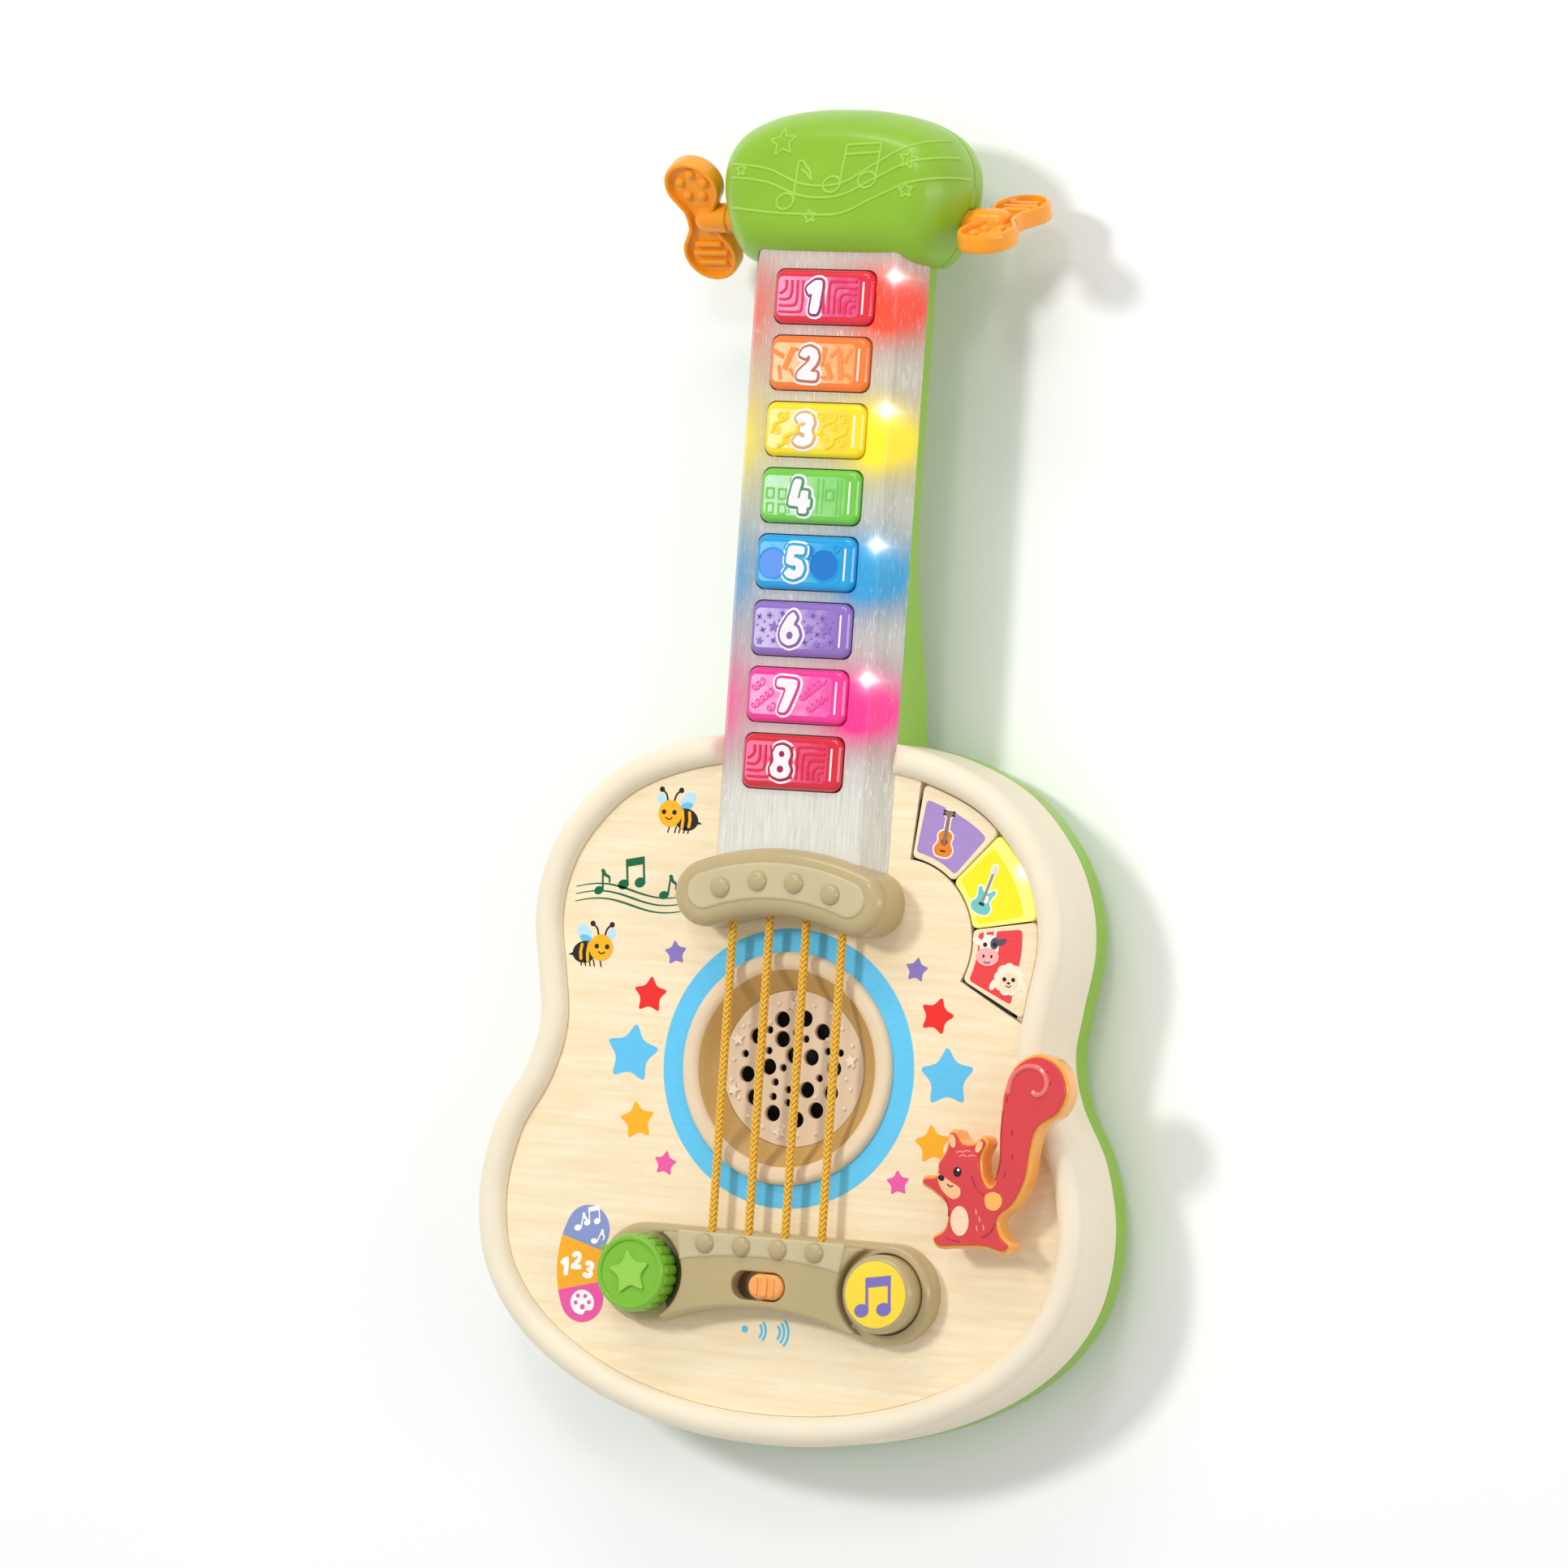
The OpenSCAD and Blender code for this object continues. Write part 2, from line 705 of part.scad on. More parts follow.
module battery_contacts() {
    color("silver") place() for (y = cell_ys) {
        box(cell_l / 2 + 0.4, box_half_x - 2, y - 5, y + 5, cell_z - 5, cell_z + 5);
        for (k = [0 : 2]) translate([-cell_l / 2 - 3.2 + k * 1.2, y, cell_z]) rotate([0, 90, 0]) {
            difference() {
                cylinder(r = 4 - 0.7 * k, h = 0.8);
                translate([0, 0, -over]) cylinder(r = 3 - 0.7 * k, h = 3);
            }
        }
    }
}

module battery_door() {
    z = -body_depth;
    color("yellowgreen") place() difference() {
        union() {
            slab(z, z + wall) translate([0, box_mid_y]) rounded(64.2, 62.2, 5.6);
            for (y = [-door_screw_y, door_screw_y]) translate([0, box_mid_y + y]) rod(3.9, z + 1, z + 3.2);
        }
        for (y = [-door_screw_y, door_screw_y]) translate([0, box_mid_y + y]) {
            rod(screw_r + 0.1, z - over, z + 4);
            rod(3.1, z - over, z + 2.1);
        }
        for (x = [-20 : 5 : 20]) box(x - 0.8, x + 0.8, -89, -69, z - over, z + 0.8);
    }
}

// A cross-head screw that points up, with its head's underside at z
module screw(z, length) {
    difference() {
        union() {
            rod(screw_r, z, z + length);
            rod(2.8, z - 2, z);
        }
        for (a = [0, 90]) rotate(a) box(-1.8, 1.8, -0.35, 0.35, z - 3, z - 1);
    }
}

module door_screws() {
    color("silver") place() for (y = [-door_screw_y, door_screw_y]) {
        translate([0, box_mid_y + y]) screw(2.1 - body_depth, 7.5);
    }
}

module case_screws() {
    color("silver") place() {
        for (s = SCREWS) translate([s.x, s.y]) screw(case_screw_z, 20);
        for (s = NECK_SCREWS) translate([s.x, s.y]) screw(neck_screw_z, 17);
    }
}

module neck_harness() {
    route = [
        [12, 83, 3.8], [12, 72, 2.6], [12, 66, -1], [14, 60, -8], [34, 42, -11], [40, 10, -12],
        [40, -24, -11], [38, -43, -11]
    ];
    color("gray") place() wire(curve(route, 4), 1.2);
}

module speaker_leads() {
    route = [[0, -16, -20], [0, -24, -18], [-2, -34, -14], [-4, -43, -11]];
    color("red") place() for (x = [-4, -8]) translate([x, 0, 0]) wire(curve(route, 4), 0.7);
}

module battery_leads() {
    route = [[33, -100, -26], [44, -100, -25], [50, -98, -20], [50, -96, board_z - 0.4]];
    color("black") place() for (y = [0, 5]) translate([0, y, 0]) wire(curve(route, 4), 0.7);
}

// ---------- lever ----------
module lever_bushing() {
    color("bisque") place() translate(lever_pivot) difference() {
        union() {
            rod(6.4, -6, 0.02);
            rod(8.5, 0.02, 4);
            rod(6.6, 4, lever_z - 0.4);
        }
        rod(lever_shaft_r + fit, -7, lever_z);
    }
}

module lever_back() {
    color("orange") place() {
        slab(lever_z, lever_z + lever_t) polygon(LEVER);
        difference() {
            translate(lever_pivot) rod(lever_shaft_r, -11, lever_z + over);
            translate(lever_pivot) rod(1.2, -12, -3);
        }
    }
}

module lever_front() {
    color("crimson") place() {
        slab(lever_z + lever_t, lever_z + lever_t + 1) polygon(inset(LEVER, 0.9));
    }
}

module lever_spring() {
    color("silver") place() translate(lever_pivot) for (k = [0 : 2]) difference() {
        rod(6, -8 - 0.9 * k, -7.3 - 0.9 * k);
        rod(4.6, -12, 0);
    }
}

module lever_screw() {
    color("silver") place() translate(lever_pivot) {
        rod(1.15, -11, -3.2);
        rod(5.4, -12, -11);
        rod(2.6, -13.2, -12);
    }
}

// ---------- tuner pegs ----------
module tuner(side) {
    turn = side < 0 ? tuner_tilt[0] : tuner_tilt[1];
    color("orange") place() translate([0, tuner_y, tuner_z]) {
        translate([side < 0 ? -tuner_x : tuner_shaft_end, 0, 0]) rotate([0, 90, 0]) {
            cylinder(r = tuner_shaft_r, h = tuner_x - tuner_shaft_end);
        }
        translate([side * tuner_x, 0, 0]) rotate([turn, 0, 0]) {
            difference() {
                slab(-3.2, 3.2) paddle(0);
                for (s = [0, 1]) mirror([0, 0, s]) slab(1, 4) difference() {
                    paddle(1.5);
                    circle(6.2);
                }
            }
            for (s = [0, 1]) mirror([0, 0, s]) {
                translate([0, lobe_gap]) for (a = [45 : 90 : 315]) {
                    rotate(a) translate([4.4, 0]) rod(1.7, 0.9, 2);
                }
                for (y = [-3, 3]) box(-6, 6, y - lobe_gap - 0.8, y - lobe_gap + 0.8, 0.9, 2);
            }
        }
    }
}

module paddle(e) {
    for (s = [-1, 1]) translate([0, s * lobe_gap]) circle(lobe_r - e);
    square([2 * (5.6 - e), 12], center = true);
}

module tuner_clip(side) {
    color("white") place() translate([side * (tuner_shaft_end + 2), tuner_y, tuner_z]) rotate([0, 90, 0]) {
        difference() {
            cylinder(r = 6.6, h = 2, center = true);
            cylinder(r = tuner_shaft_r + 0.02, h = 4, center = true);
        }
    }
}

// ---------- keys and controls ----------
module number_key(i, tint) {
    top = neck_h + 2.3;
    low = key_low;
    color(tint) place() translate([0, first_key_y - key_pitch * (i - 1)]) {
        difference() {
            union() {
                slab(low, top - 0.9) rounded(key_l, key_w, 3);
                slab(top - 1, top) rounded(key_l - 1.4, key_w - 1.4, 2.4);
                slab(low, low + 1.2) rounded(key_l + 2.4, key_w + 2.2, 3);
            }
            slab(low - over, top - 2) rounded(key_l - 4, key_w - 4, 2);
        }
        slab(low, top - 1.8) square([key_l - 3, 1.2], center = true);
    }
}

module picture_key(i, tint) {
    a = fan_edges[i];
    b = fan_edges[i + 1];
    color(tint) place() {
        slab(-1.2, fan_top_z) intersection() {
            fan_region(0);
            polygon(wedge(a - 0.35, b + 0.35, 90));
        }
        slab(-6, -1.1) intersection() {
            polygon(inset(BODY, rim_w + 5));
            polygon(wedge(a - 2, b + 2, 90));
            translate(fan_centre) difference() {
                circle(80);
                circle(fan_r + 2);
            }
        }
    }
}

module music_button() {
    color("tan") place() translate([seat_x, seat_y]) {
        rotate_extrude() polygon(concat(
            [[0, 3], [button_r + 1, 3], [button_r + 1, 4.6], [button_r, 4.6], [button_r, 12.4]],
            [[button_r - 1, 13.6]], [[10.5, 15], [6, 15.6], [0, 15.8]]));
        rod(5, board_z + 5.6 + button_travel, 3.1);
    }
}

module mode_knob() {
    ribs = 22;
    color("limegreen") place() translate([-seat_x, seat_y]) {
        rod(knob_shaft_r, -9, seat_z + 2);
        difference() {
            union() {
                rod(knob_r - 0.8, seat_z + 0.4, 17.6);
                slab(seat_z + 0.4, 15.4) for (k = [0 : ribs - 1]) rotate(k * 360 / ribs) {
                    translate([knob_r - 1, 0]) circle(1.1);
                }
            }
            rod(10.6, 16.6, 18);
        }
        slab(16.5, 17.4) star(7.6, 3.4);
        slab(10, 13) rotate(150) polygon([[11, -3.2], [15.6, -0.4], [15.6, 0.4], [11, 3.2]]);
    }
}

module star(ro, ri) {
    polygon([for (k = [0 : 9]) (k % 2 == 0 ? ro : ri) * [sin(36 * k), cos(36 * k)]]);
}

module volume_slider() {
    color("orange") place() translate([slider_travel / 2, seat_y - 1]) {
        slab(6, 12.4) rounded(13.2, 8.6, 4.2);
        for (x = [-3, 0, 3]) box(x - 0.6, x + 0.6, -3.2, 3.2, 12.3, 13);
        slab(5, 6.2) square([11, 10.6], center = true);
        box(-1.4, 1.4, -0.2, 2.2, -9, 5.2);
    }
}

rear_shell();
neck_rear();
head_rear();
head_front();
front_bezel();
wood_panel();
neck_cover();
upper_bridge();
lower_bridge();
sound_ring();
speaker_grille();
speaker_frame();
speaker_cone();
speaker_magnet();
guitar_string(0);  // string_1
guitar_string(1);  // string_2
guitar_string(2);  // string_3
guitar_string(3);  // string_4
key_board();
key_mat();
key_leds();
main_board();
board_chips();
tact_switches();
mode_switch();
volume_switch();
battery_box();
battery_cells();
battery_contacts();
battery_door();
door_screws();
case_screws();
neck_harness();
speaker_leads();
battery_leads();
lever_bushing();
lever_spring();
lever_screw();
tuner(-1);  // tuner_left
tuner(1);  // tuner_right
tuner_clip(-1);  // tuner_left_clip
tuner_clip(1);  // tuner_right_clip
number_key(1, "crimson");  // key_1
number_key(2, "darkorange");  // key_2
number_key(3, "gold");  // key_3
number_key(4, "limegreen");  // key_4
number_key(5, "deepskyblue");  // key_5
number_key(6, "mediumpurple");  // key_6
number_key(7, "deeppink");  // key_7
number_key(8, "firebrick");  // key_8
picture_key(0, "mediumpurple");  // ukulele_key
picture_key(1, "gold");  // guitar_key
picture_key(2, "tomato");  // animal_key
music_button();
mode_knob();
volume_slider();
lever_back();
lever_front();
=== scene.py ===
"""The looks of the toy guitar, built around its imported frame. Lengths are in millimetres from the
middle of the sound hole, on the front of the wood panel, until at() turns them into the frame's metres."""

import math
import random

import bmesh
import bpy
from mathutils import Euler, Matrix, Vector
from mathutils.bvhtree import BVHTree
from mathutils.geometry import delaunay_2d_cdt, intersect_line_line_2d


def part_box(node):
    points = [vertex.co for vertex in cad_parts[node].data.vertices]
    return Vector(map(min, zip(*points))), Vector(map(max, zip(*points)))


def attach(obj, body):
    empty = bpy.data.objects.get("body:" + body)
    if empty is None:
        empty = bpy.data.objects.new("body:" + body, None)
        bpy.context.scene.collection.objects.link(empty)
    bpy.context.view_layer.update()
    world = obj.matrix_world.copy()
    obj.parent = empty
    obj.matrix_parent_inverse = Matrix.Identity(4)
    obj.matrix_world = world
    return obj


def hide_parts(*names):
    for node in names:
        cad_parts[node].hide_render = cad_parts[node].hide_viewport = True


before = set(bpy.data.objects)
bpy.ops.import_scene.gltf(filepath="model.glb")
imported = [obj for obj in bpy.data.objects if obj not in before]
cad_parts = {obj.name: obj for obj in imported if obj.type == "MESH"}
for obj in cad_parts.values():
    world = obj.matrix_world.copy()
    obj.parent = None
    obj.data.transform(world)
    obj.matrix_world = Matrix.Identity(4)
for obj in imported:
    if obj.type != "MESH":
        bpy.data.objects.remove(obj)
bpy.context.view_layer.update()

MM = 0.001
TAU = 2 * math.pi
HOUSING = "housing"


# ---------- places ----------
def sound_hole():
    """The middle of the sound hole, on the front of the wood panel."""
    low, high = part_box("sound_ring")
    return Vector(((low.x + high.x) / 2, (low.y + high.y) / 2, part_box("wood_panel")[1].z))


HOLE = sound_hole()


def at(x, y, z=0.0):
    return HOLE + MM * Vector((x, y, z))


def middle(node):
    """Middle of a CAD node, in millimetres from the sound hole."""
    low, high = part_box(node)
    return ((low + high) / 2 - HOLE) / MM


BACK_Z = -HOLE.z / MM
KEY_PLACES = [middle(f"key_{i}") for i in range(1, 9)]
KEY_TOP = (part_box("key_1")[1].z - HOLE.z) / MM
STRING_X = [middle(f"string_{i}").x for i in range(1, 5)]
STRING_Z = middle("string_1").z
SLIDER = middle("volume_slider")
TUNER = middle("tuner_left_clip")
LEVER = middle("lever_screw")
SEAT_X, SEAT_Y, _ = middle("music_button")


# ---------- outlines: lists of (x, y), anticlockwise ----------
def turned(points, angle, x=0.0, y=0.0, size=1.0):
    """Points turned by an angle in degrees, scaled, and moved to (x, y)."""
    c, s = math.cos(math.radians(angle)) * size, math.sin(math.radians(angle)) * size
    return [(x + c * px - s * py, y + s * px + c * py) for px, py in points]


def arc(x, y, r, a, b, n):
    """Points of an arc from angle a to angle b, in degrees."""
    steps = [math.radians(a + (b - a) * k / n) for k in range(n + 1)]
    return [(x + r * math.cos(t), y + r * math.sin(t)) for t in steps]


def circle(x, y, r, n=32):
    return arc(x, y, r, 0, 360, n)[:-1]


def hoop(x, y, r, z, n=32):
    """A circle at height z."""
    return [(px, py, z) for px, py in circle(x, y, r, n)]


def oval(x, y, rx, ry, angle=0.0, n=28):
    return turned([(px * rx, py * ry) for px, py in circle(0, 0, 1, n)], angle, x, y)


def catmull(a, b, c, d, t):
    return tuple(0.5 * (2 * q + (r - p) * t + (2 * p - 5 * q + 4 * r - s) * t * t
                        + (3 * q - p - 3 * r + s) * t ** 3) for p, q, r, s in zip(a, b, c, d))


def spline(points, n=6):
    """A smooth closed line through points."""
    m = len(points)
    return [catmull(points[i - 1], points[i], points[(i + 1) % m], points[(i + 2) % m], k / n)
            for i in range(m) for k in range(n)]


def open_spline(points, n=6):
    """A smooth open line through points."""
    m = len(points) - 1
    line = [catmull(points[max(i - 1, 0)], points[i], points[i + 1], points[min(i + 2, m)], k / n)
            for i in range(m) for k in range(n)]
    return line + [tuple(points[-1])]


def area(points):
    return sum(a[0] * b[1] - b[0] * a[1] for a, b in zip(points, points[1:] + points[:1])) / 2


def forward(points):
    return points if area(points) > 0 else points[::-1]


def inset(points, d):
    """An anticlockwise outline moved inwards by d."""
    out = []
    m = len(points)
    for i, p in enumerate(points):
        a, b = points[i - 1], points[(i + 1) % m]
        u = Vector((p[0] - a[0], p[1] - a[1])).normalized()
        v = Vector((b[0] - p[0], b[1] - p[1])).normalized()
        n = Vector((-u.y - v.y, u.x + v.x))
        n = n.normalized() / max(n.length / 2, 0.5) if n.length > 1e-6 else Vector((-u.y, u.x))
        out.append((p[0] + d * n.x, p[1] + d * n.y))
    return out


def uncrossed(points, reach=24):
    """An outline whose small loops are each drawn together into the point where they cross."""
    out = [Vector(p) for p in points]
    m = len(out)
    for i in range(m):
        for gap in range(min(reach, m // 3), 1, -1):
            a, b, c, d = (out[k % m] for k in (i, i + 1, i + gap, i + gap + 1))
            hit = intersect_line_line_2d(a, b, c, d) if a != b and c != d else None
            if hit:
                for k in range(i + 1, i + gap + 1):
                    out[k % m] = hit
                break
    return [tuple(p) for p in out]


def soften(points, share=0.3, n=4):
    """An outline with its corners rounded, each over that share of its edges."""
    out = []
    m = len(points)
    for i, p in enumerate(points):
        a, b = points[i - 1], points[(i + 1) % m]
        s = [p[k] + (a[k] - p[k]) * share for k in (0, 1)]
        e = [p[k] + (b[k] - p[k]) * share for k in (0, 1)]
        for t in (j / n for j in range(n + 1)):
            u, v, w = (1 - t) ** 2, 2 * t * (1 - t), t * t
            out.append(tuple(u * s[k] + v * p[k] + w * e[k] for k in (0, 1)))
    return out


def star(x, y, r, angle=0.0, waist=0.52, share=0.28):
    tips = [((r if k % 2 == 0 else r * waist) * math.sin(-k * TAU / 10),
             (r if k % 2 == 0 else r * waist) * math.cos(k * TAU / 10)) for k in range(10)]
    return turned(soften(tips, share), angle, x, y)


def rounded(x, y, w, h, r, n=5):
    """A rectangle with round corners."""
    a, b = w / 2 - r, h / 2 - r
    corners = [(a, b, 0), (-a, b, 90), (-a, -b, 180), (a, -b, 270)]
    return [p for cx, cy, t in corners for p in arc(x + cx, y + cy, r, t, t + 90, n)]


def stroke(line, width, n=5):
    """The outline of a line drawn with a round pen. width is one number, or a function of 0..1."""
    pen = width if callable(width) else lambda t: width
    m = len(line) - 1
    left, right = [], []
    for i, p in enumerate(line):
        a, b = line[max(i - 1, 0)], line[min(i + 1, m)]
        d = Vector((b[0] - a[0], b[1] - a[1])).normalized() * pen(i / m) / 2
        left.append((p[0] - d.y, p[1] + d.x))
        right.append((p[0] + d.y, p[1] - d.x))
    first = Vector((line[1][0] - line[0][0], line[1][1] - line[0][1]))
    last = Vector((line[m][0] - line[m - 1][0], line[m][1] - line[m - 1][1]))
    fa, la = math.degrees(math.atan2(first.y, first.x)), math.degrees(math.atan2(last.y, last.x))
    end = arc(*line[m], pen(1) / 2, la - 90, la + 90, n)[1:-1]
    start = arc(*line[0], pen(0) / 2, fa + 90, fa + 270, n)[1:-1]
    return right + end + left[::-1] + start


def inside(loops, x, y):
    """Whether a point is inside the first outline and outside the others."""
    odd = False
    for loop in loops:
        for (ax, ay), (bx, by) in zip(loop, loop[1:] + loop[:1]):
            if (ay > y) != (by > y) and x < ax + (y - ay) * (bx - ax) / (by - ay):
                odd = not odd
    return odd


def triangles(loops):
    """The area between outlines as triangles: indices into all their points in turn."""
    points, edges = [], []
    for loop in loops:
        first, m = len(points), len(loop)
        points += [Vector(p) for p in loop]
        edges += [(first + i, first + (i + 1) % m) for i in range(m)]
    found = delaunay_2d_cdt(points, edges, [], 0, 1e-6)
    spots, names = found[0], [ids[0] if ids else None for ids in found[3]]
    out = []
    for tri in found[2]:
        middle_point = sum((spots[i] for i in tri), Vector((0, 0))) / 3
        if inside(loops, *middle_point) and all(names[i] is not None for i in tri):
            out.append([names[i] for i in tri])
    return out


# ---------- solids: (points, faces) ----------
def rounded_levels(z0, z1, r, steps=7):
    """An upright side with a round upper edge: pairs of (distance in, height)."""
    turns = [math.pi / 2 * k / max(steps, 1) for k in range(steps + 1)]
    return [(0, z0)] + [(r * (1 - math.cos(t)), z1 - r + r * math.sin(t)) for t in turns]


def plate(loops, z0, z1, bevel=0.0, lips=None, steps=3):
    """A flat solid inside the first outline and outside the others. Its upper edges are rounded by
    bevel at the outside, and by lips around the holes."""
    if isinstance(loops[0][0], (int, float)):
        loops = [loops]
    lips = bevel if lips is None else lips
    verts, faces, tops, bottoms, lids = [], [], [], [], []
    for k, loop in enumerate(loops):
        loop = forward(loop)
        m = len(loop)
        first = len(verts)
        side, r = (1, bevel) if k == 0 else (-1, lips)
        rings = rounded_levels(z0, z1, r, steps if r else 0)
        for d, z in rings:
            ring = uncrossed(inset(loop, side * d)) if d else loop
            verts += [(px, py, z) for px, py in ring]
        lids.append(ring)
        for j in range(len(rings) - 1):
            low, high = first + j * m, first + (j + 1) * m
            faces += [(low + i, low + (i + 1) % m, high + (i + 1) % m, high + i) for i in range(m)]
        bottoms += list(range(first, first + m))
        tops += list(range(first + (len(rings) - 1) * m, len(verts)))
    faces += [tuple(tops[i] for i in tri) for tri in triangles(lids)]
    feet = [forward(loop) for loop in loops]
    faces += [tuple(bottoms[i] for i in reversed(tri)) for tri in triangles(feet)]
    return verts, faces


def loft(rings, closed=False):
    """A solid through rings of points. It is capped at both ends, or joined to itself."""
    m = len(rings[0])
    verts = [p for ring in rings for p in ring]
    count = len(rings)
    spans = count if closed else count - 1
    faces = [(k * m + i, k * m + (i + 1) % m, (k + 1) % count * m + (i + 1) % m, (k + 1) % count * m + i)
             for k in range(spans) for i in range(m)]
    if not closed:
        faces += [tuple(range(m - 1, -1, -1)), tuple(range((count - 1) * m, count * m))]
    return verts, faces


def crown(outline, levels):
    """A solid whose outline shrinks as it rises: levels are (distance in, height)."""
    return loft([[(x, y, z) for x, y in (inset(outline, d) if d else outline)] for d, z in levels])


def lathe(profile, x=0.0, y=0.0, n=64):
    """A closed section of (radius, height) turned about an upright axis."""
    rings = [[(x + r * math.cos(t), y + r * math.sin(t), z) for r, z in profile]
             for t in (TAU * k / n for k in range(n))]
    return loft(rings, closed=True)


def dome(x, y, z, r, h, n=24, steps=6):
    """A cap of radius r that stands h high, with a flat bottom."""
    turns = [math.pi / 2 * k / steps for k in range(1, steps)]
    levels = [(r, z)] + [(r * math.cos(t), z + h * math.sin(t)) for t in turns] + [(r * 0.04, z + h)]
    return loft([hoop(x, y, q, height, n) for q, height in levels])


def tube(line, r, n=10, closed=False):
    """A round bar along a line of points."""
    points = [Vector(p) for p in line]
    m = len(points)
    rings, side = [], None
    for i, p in enumerate(points):
        a = points[i - 1] if closed or i else p
        b = points[(i + 1) % m] if closed or i < m - 1 else p
        along = (b - a).normalized()
        side = side or (Vector((0, 0, 1)) if abs(along.z) < 0.9 else Vector((1, 0, 0)))
        side = (side - along * side.dot(along)).normalized()
        other = along.cross(side)
        rings.append([tuple(p + r * (math.cos(t) * side + math.sin(t) * other))
                      for t in (TAU * k / n for k in range(n))])
    return loft(rings, closed)


def moved(solid, place):
    """A solid with each point put through a function."""
    return [tuple(place(*p)) for p in solid[0]], solid[1]


# ---------- pieces ----------
def mesh_of(name, solids):
    """A mesh of closed solids, its faces turned outwards."""
    shape = bmesh.new()
    for points, polygons in solids:
        verts = [shape.verts.new(at(*p)) for p in points]
        for polygon in polygons:
            shape.faces.new([verts[i] for i in polygon])
    bmesh.ops.dissolve_degenerate(shape, dist=1e-8, edges=shape.edges)
    bmesh.ops.recalc_face_normals(shape, faces=shape.faces)
    mesh = bpy.data.meshes.new(name)
    shape.to_mesh(mesh)
    shape.free()
    return mesh


def cut(obj, solids):
    """Takes solids away from an object."""
    tool = bpy.data.objects.new("cutter", mesh_of("cutter", solids))
    bpy.context.scene.collection.objects.link(tool)
    step = obj.modifiers.new("cut", "BOOLEAN")
    step.solver = "EXACT"
    step.operation = "DIFFERENCE"
    step.use_self = True
    step.object = tool
    scene_state = bpy.context.evaluated_depsgraph_get()
    mesh = bpy.data.meshes.new_from_object(obj.evaluated_get(scene_state))
    obj.modifiers.clear()
    obj.data = mesh
    bpy.data.objects.remove(tool)


def piece(name, solids, material, slot, body=HOUSING, stands_for=(), minus=(), sharp=35.0):
    """One object made of solids, less others. It rides on a body, and stands for the nodes named."""
    obj = bpy.data.objects.new(name, mesh_of(name, solids))
    bpy.context.scene.collection.objects.link(obj)
    if minus:
        cut(obj, minus)
    mesh = obj.data
    mesh.name = name
    mesh.materials.clear()
    mesh.materials.append(M[material])
    mesh.shade_smooth()
    mesh.set_sharp_from_angle(angle=math.radians(sharp))
    obj.modifiers.new("even_shading", "WEIGHTED_NORMAL").keep_sharp = True
    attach(obj, body)
    if stands_for:
        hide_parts(*stands_for)
    return obj


# ---------- materials ----------
def rgb(r, g, b):
    """A colour from its 0..255 screen values."""
    def linear(v):
        v /= 255
        return v / 12.92 if v <= 0.04045 else ((v + 0.055) / 1.055) ** 2.4
    return (linear(r), linear(g), linear(b), 1.0)


def scaled(color, k):
    return tuple(min(c * k, 1.0) for c in color[:3]) + (1.0,)


def mixed(a, b, t):
    return tuple(p + (q - p) * t for p, q in zip(a, b))


class Paint:
    """A material's node tree, with short ways to add nodes to it."""

    def __init__(self, name):
        self.material = bpy.data.materials.new(name)
        self.material.use_nodes = True
        self.tree = self.material.node_tree
        self.shader = self.tree.nodes["Principled BSDF"]
        self.coords = self.tree.nodes.new("ShaderNodeTexCoord").outputs["Object"]

    def add(self, kind, inputs=None, **settings):
        node = self.tree.nodes.new("ShaderNode" + kind)
        for key, value in settings.items():
            setattr(node, key, value)
        for key, value in (inputs or {}).items():
            self.put(node.inputs[key], value)
        return node

    def put(self, socket, value):
        if isinstance(value, bpy.types.NodeSocket):
            self.tree.links.new(value, socket)
        else:
            socket.default_value = value

    def set(self, **values):
        for key, value in values.items():
            self.put(self.shader.inputs[key.replace("_", " ")], value)

    def stretched(self, scale=(1, 1, 1), angle=0.0, move=(0, 0, 0)):
        turn = (0, 0, math.radians(angle))
        values = {"Vector": self.coords, "Scale": scale, "Rotation": turn, "Location": move}
        return self.add("Mapping", values).outputs[0]

    def noise(self, scale, detail=3.0, vector=None, distortion=0.0):
        values = {"Vector": vector or self.coords, "Scale": scale, "Detail": detail,
                  "Distortion": distortion}
        return self.add("TexNoise", values).outputs["Fac"]

    def ramp(self, value, low, high, start=0.3, end=0.7):
        node = self.add("ValToRGB", {"Fac": value})
        for end_stop, position, color in zip(node.color_ramp.elements, (start, end), (low, high)):
            end_stop.position, end_stop.color = position, color
        return node.outputs["Color"]

    def span(self, value, low, high, start=0.3, end=0.7):
        values = {"Value": value, "From Min": start, "From Max": end, "To Min": low, "To Max": high}
        return self.add("MapRange", values).outputs["Result"]

    def math(self, operation, *values):
        return self.add("Math", dict(enumerate(values)), operation=operation).outputs[0]

    def mix(self, factor, a, b, blend="MIX"):
        sockets = {0: factor, 6: a, 7: b}   # the colour ones, of the sockets that share a name
        return self.add("Mix", sockets, data_type="RGBA", blend_type=blend).outputs[2]

    def bump(self, height, strength, distance=0.0002):
        values = {"Height": height, "Strength": strength, "Distance": distance}
        return self.add("Bump", values).outputs["Normal"]

    def plus(self, a, b):
        return self.math("ADD", a, b)

    def times(self, a, b):
        return self.math("MULTIPLY", a, b)


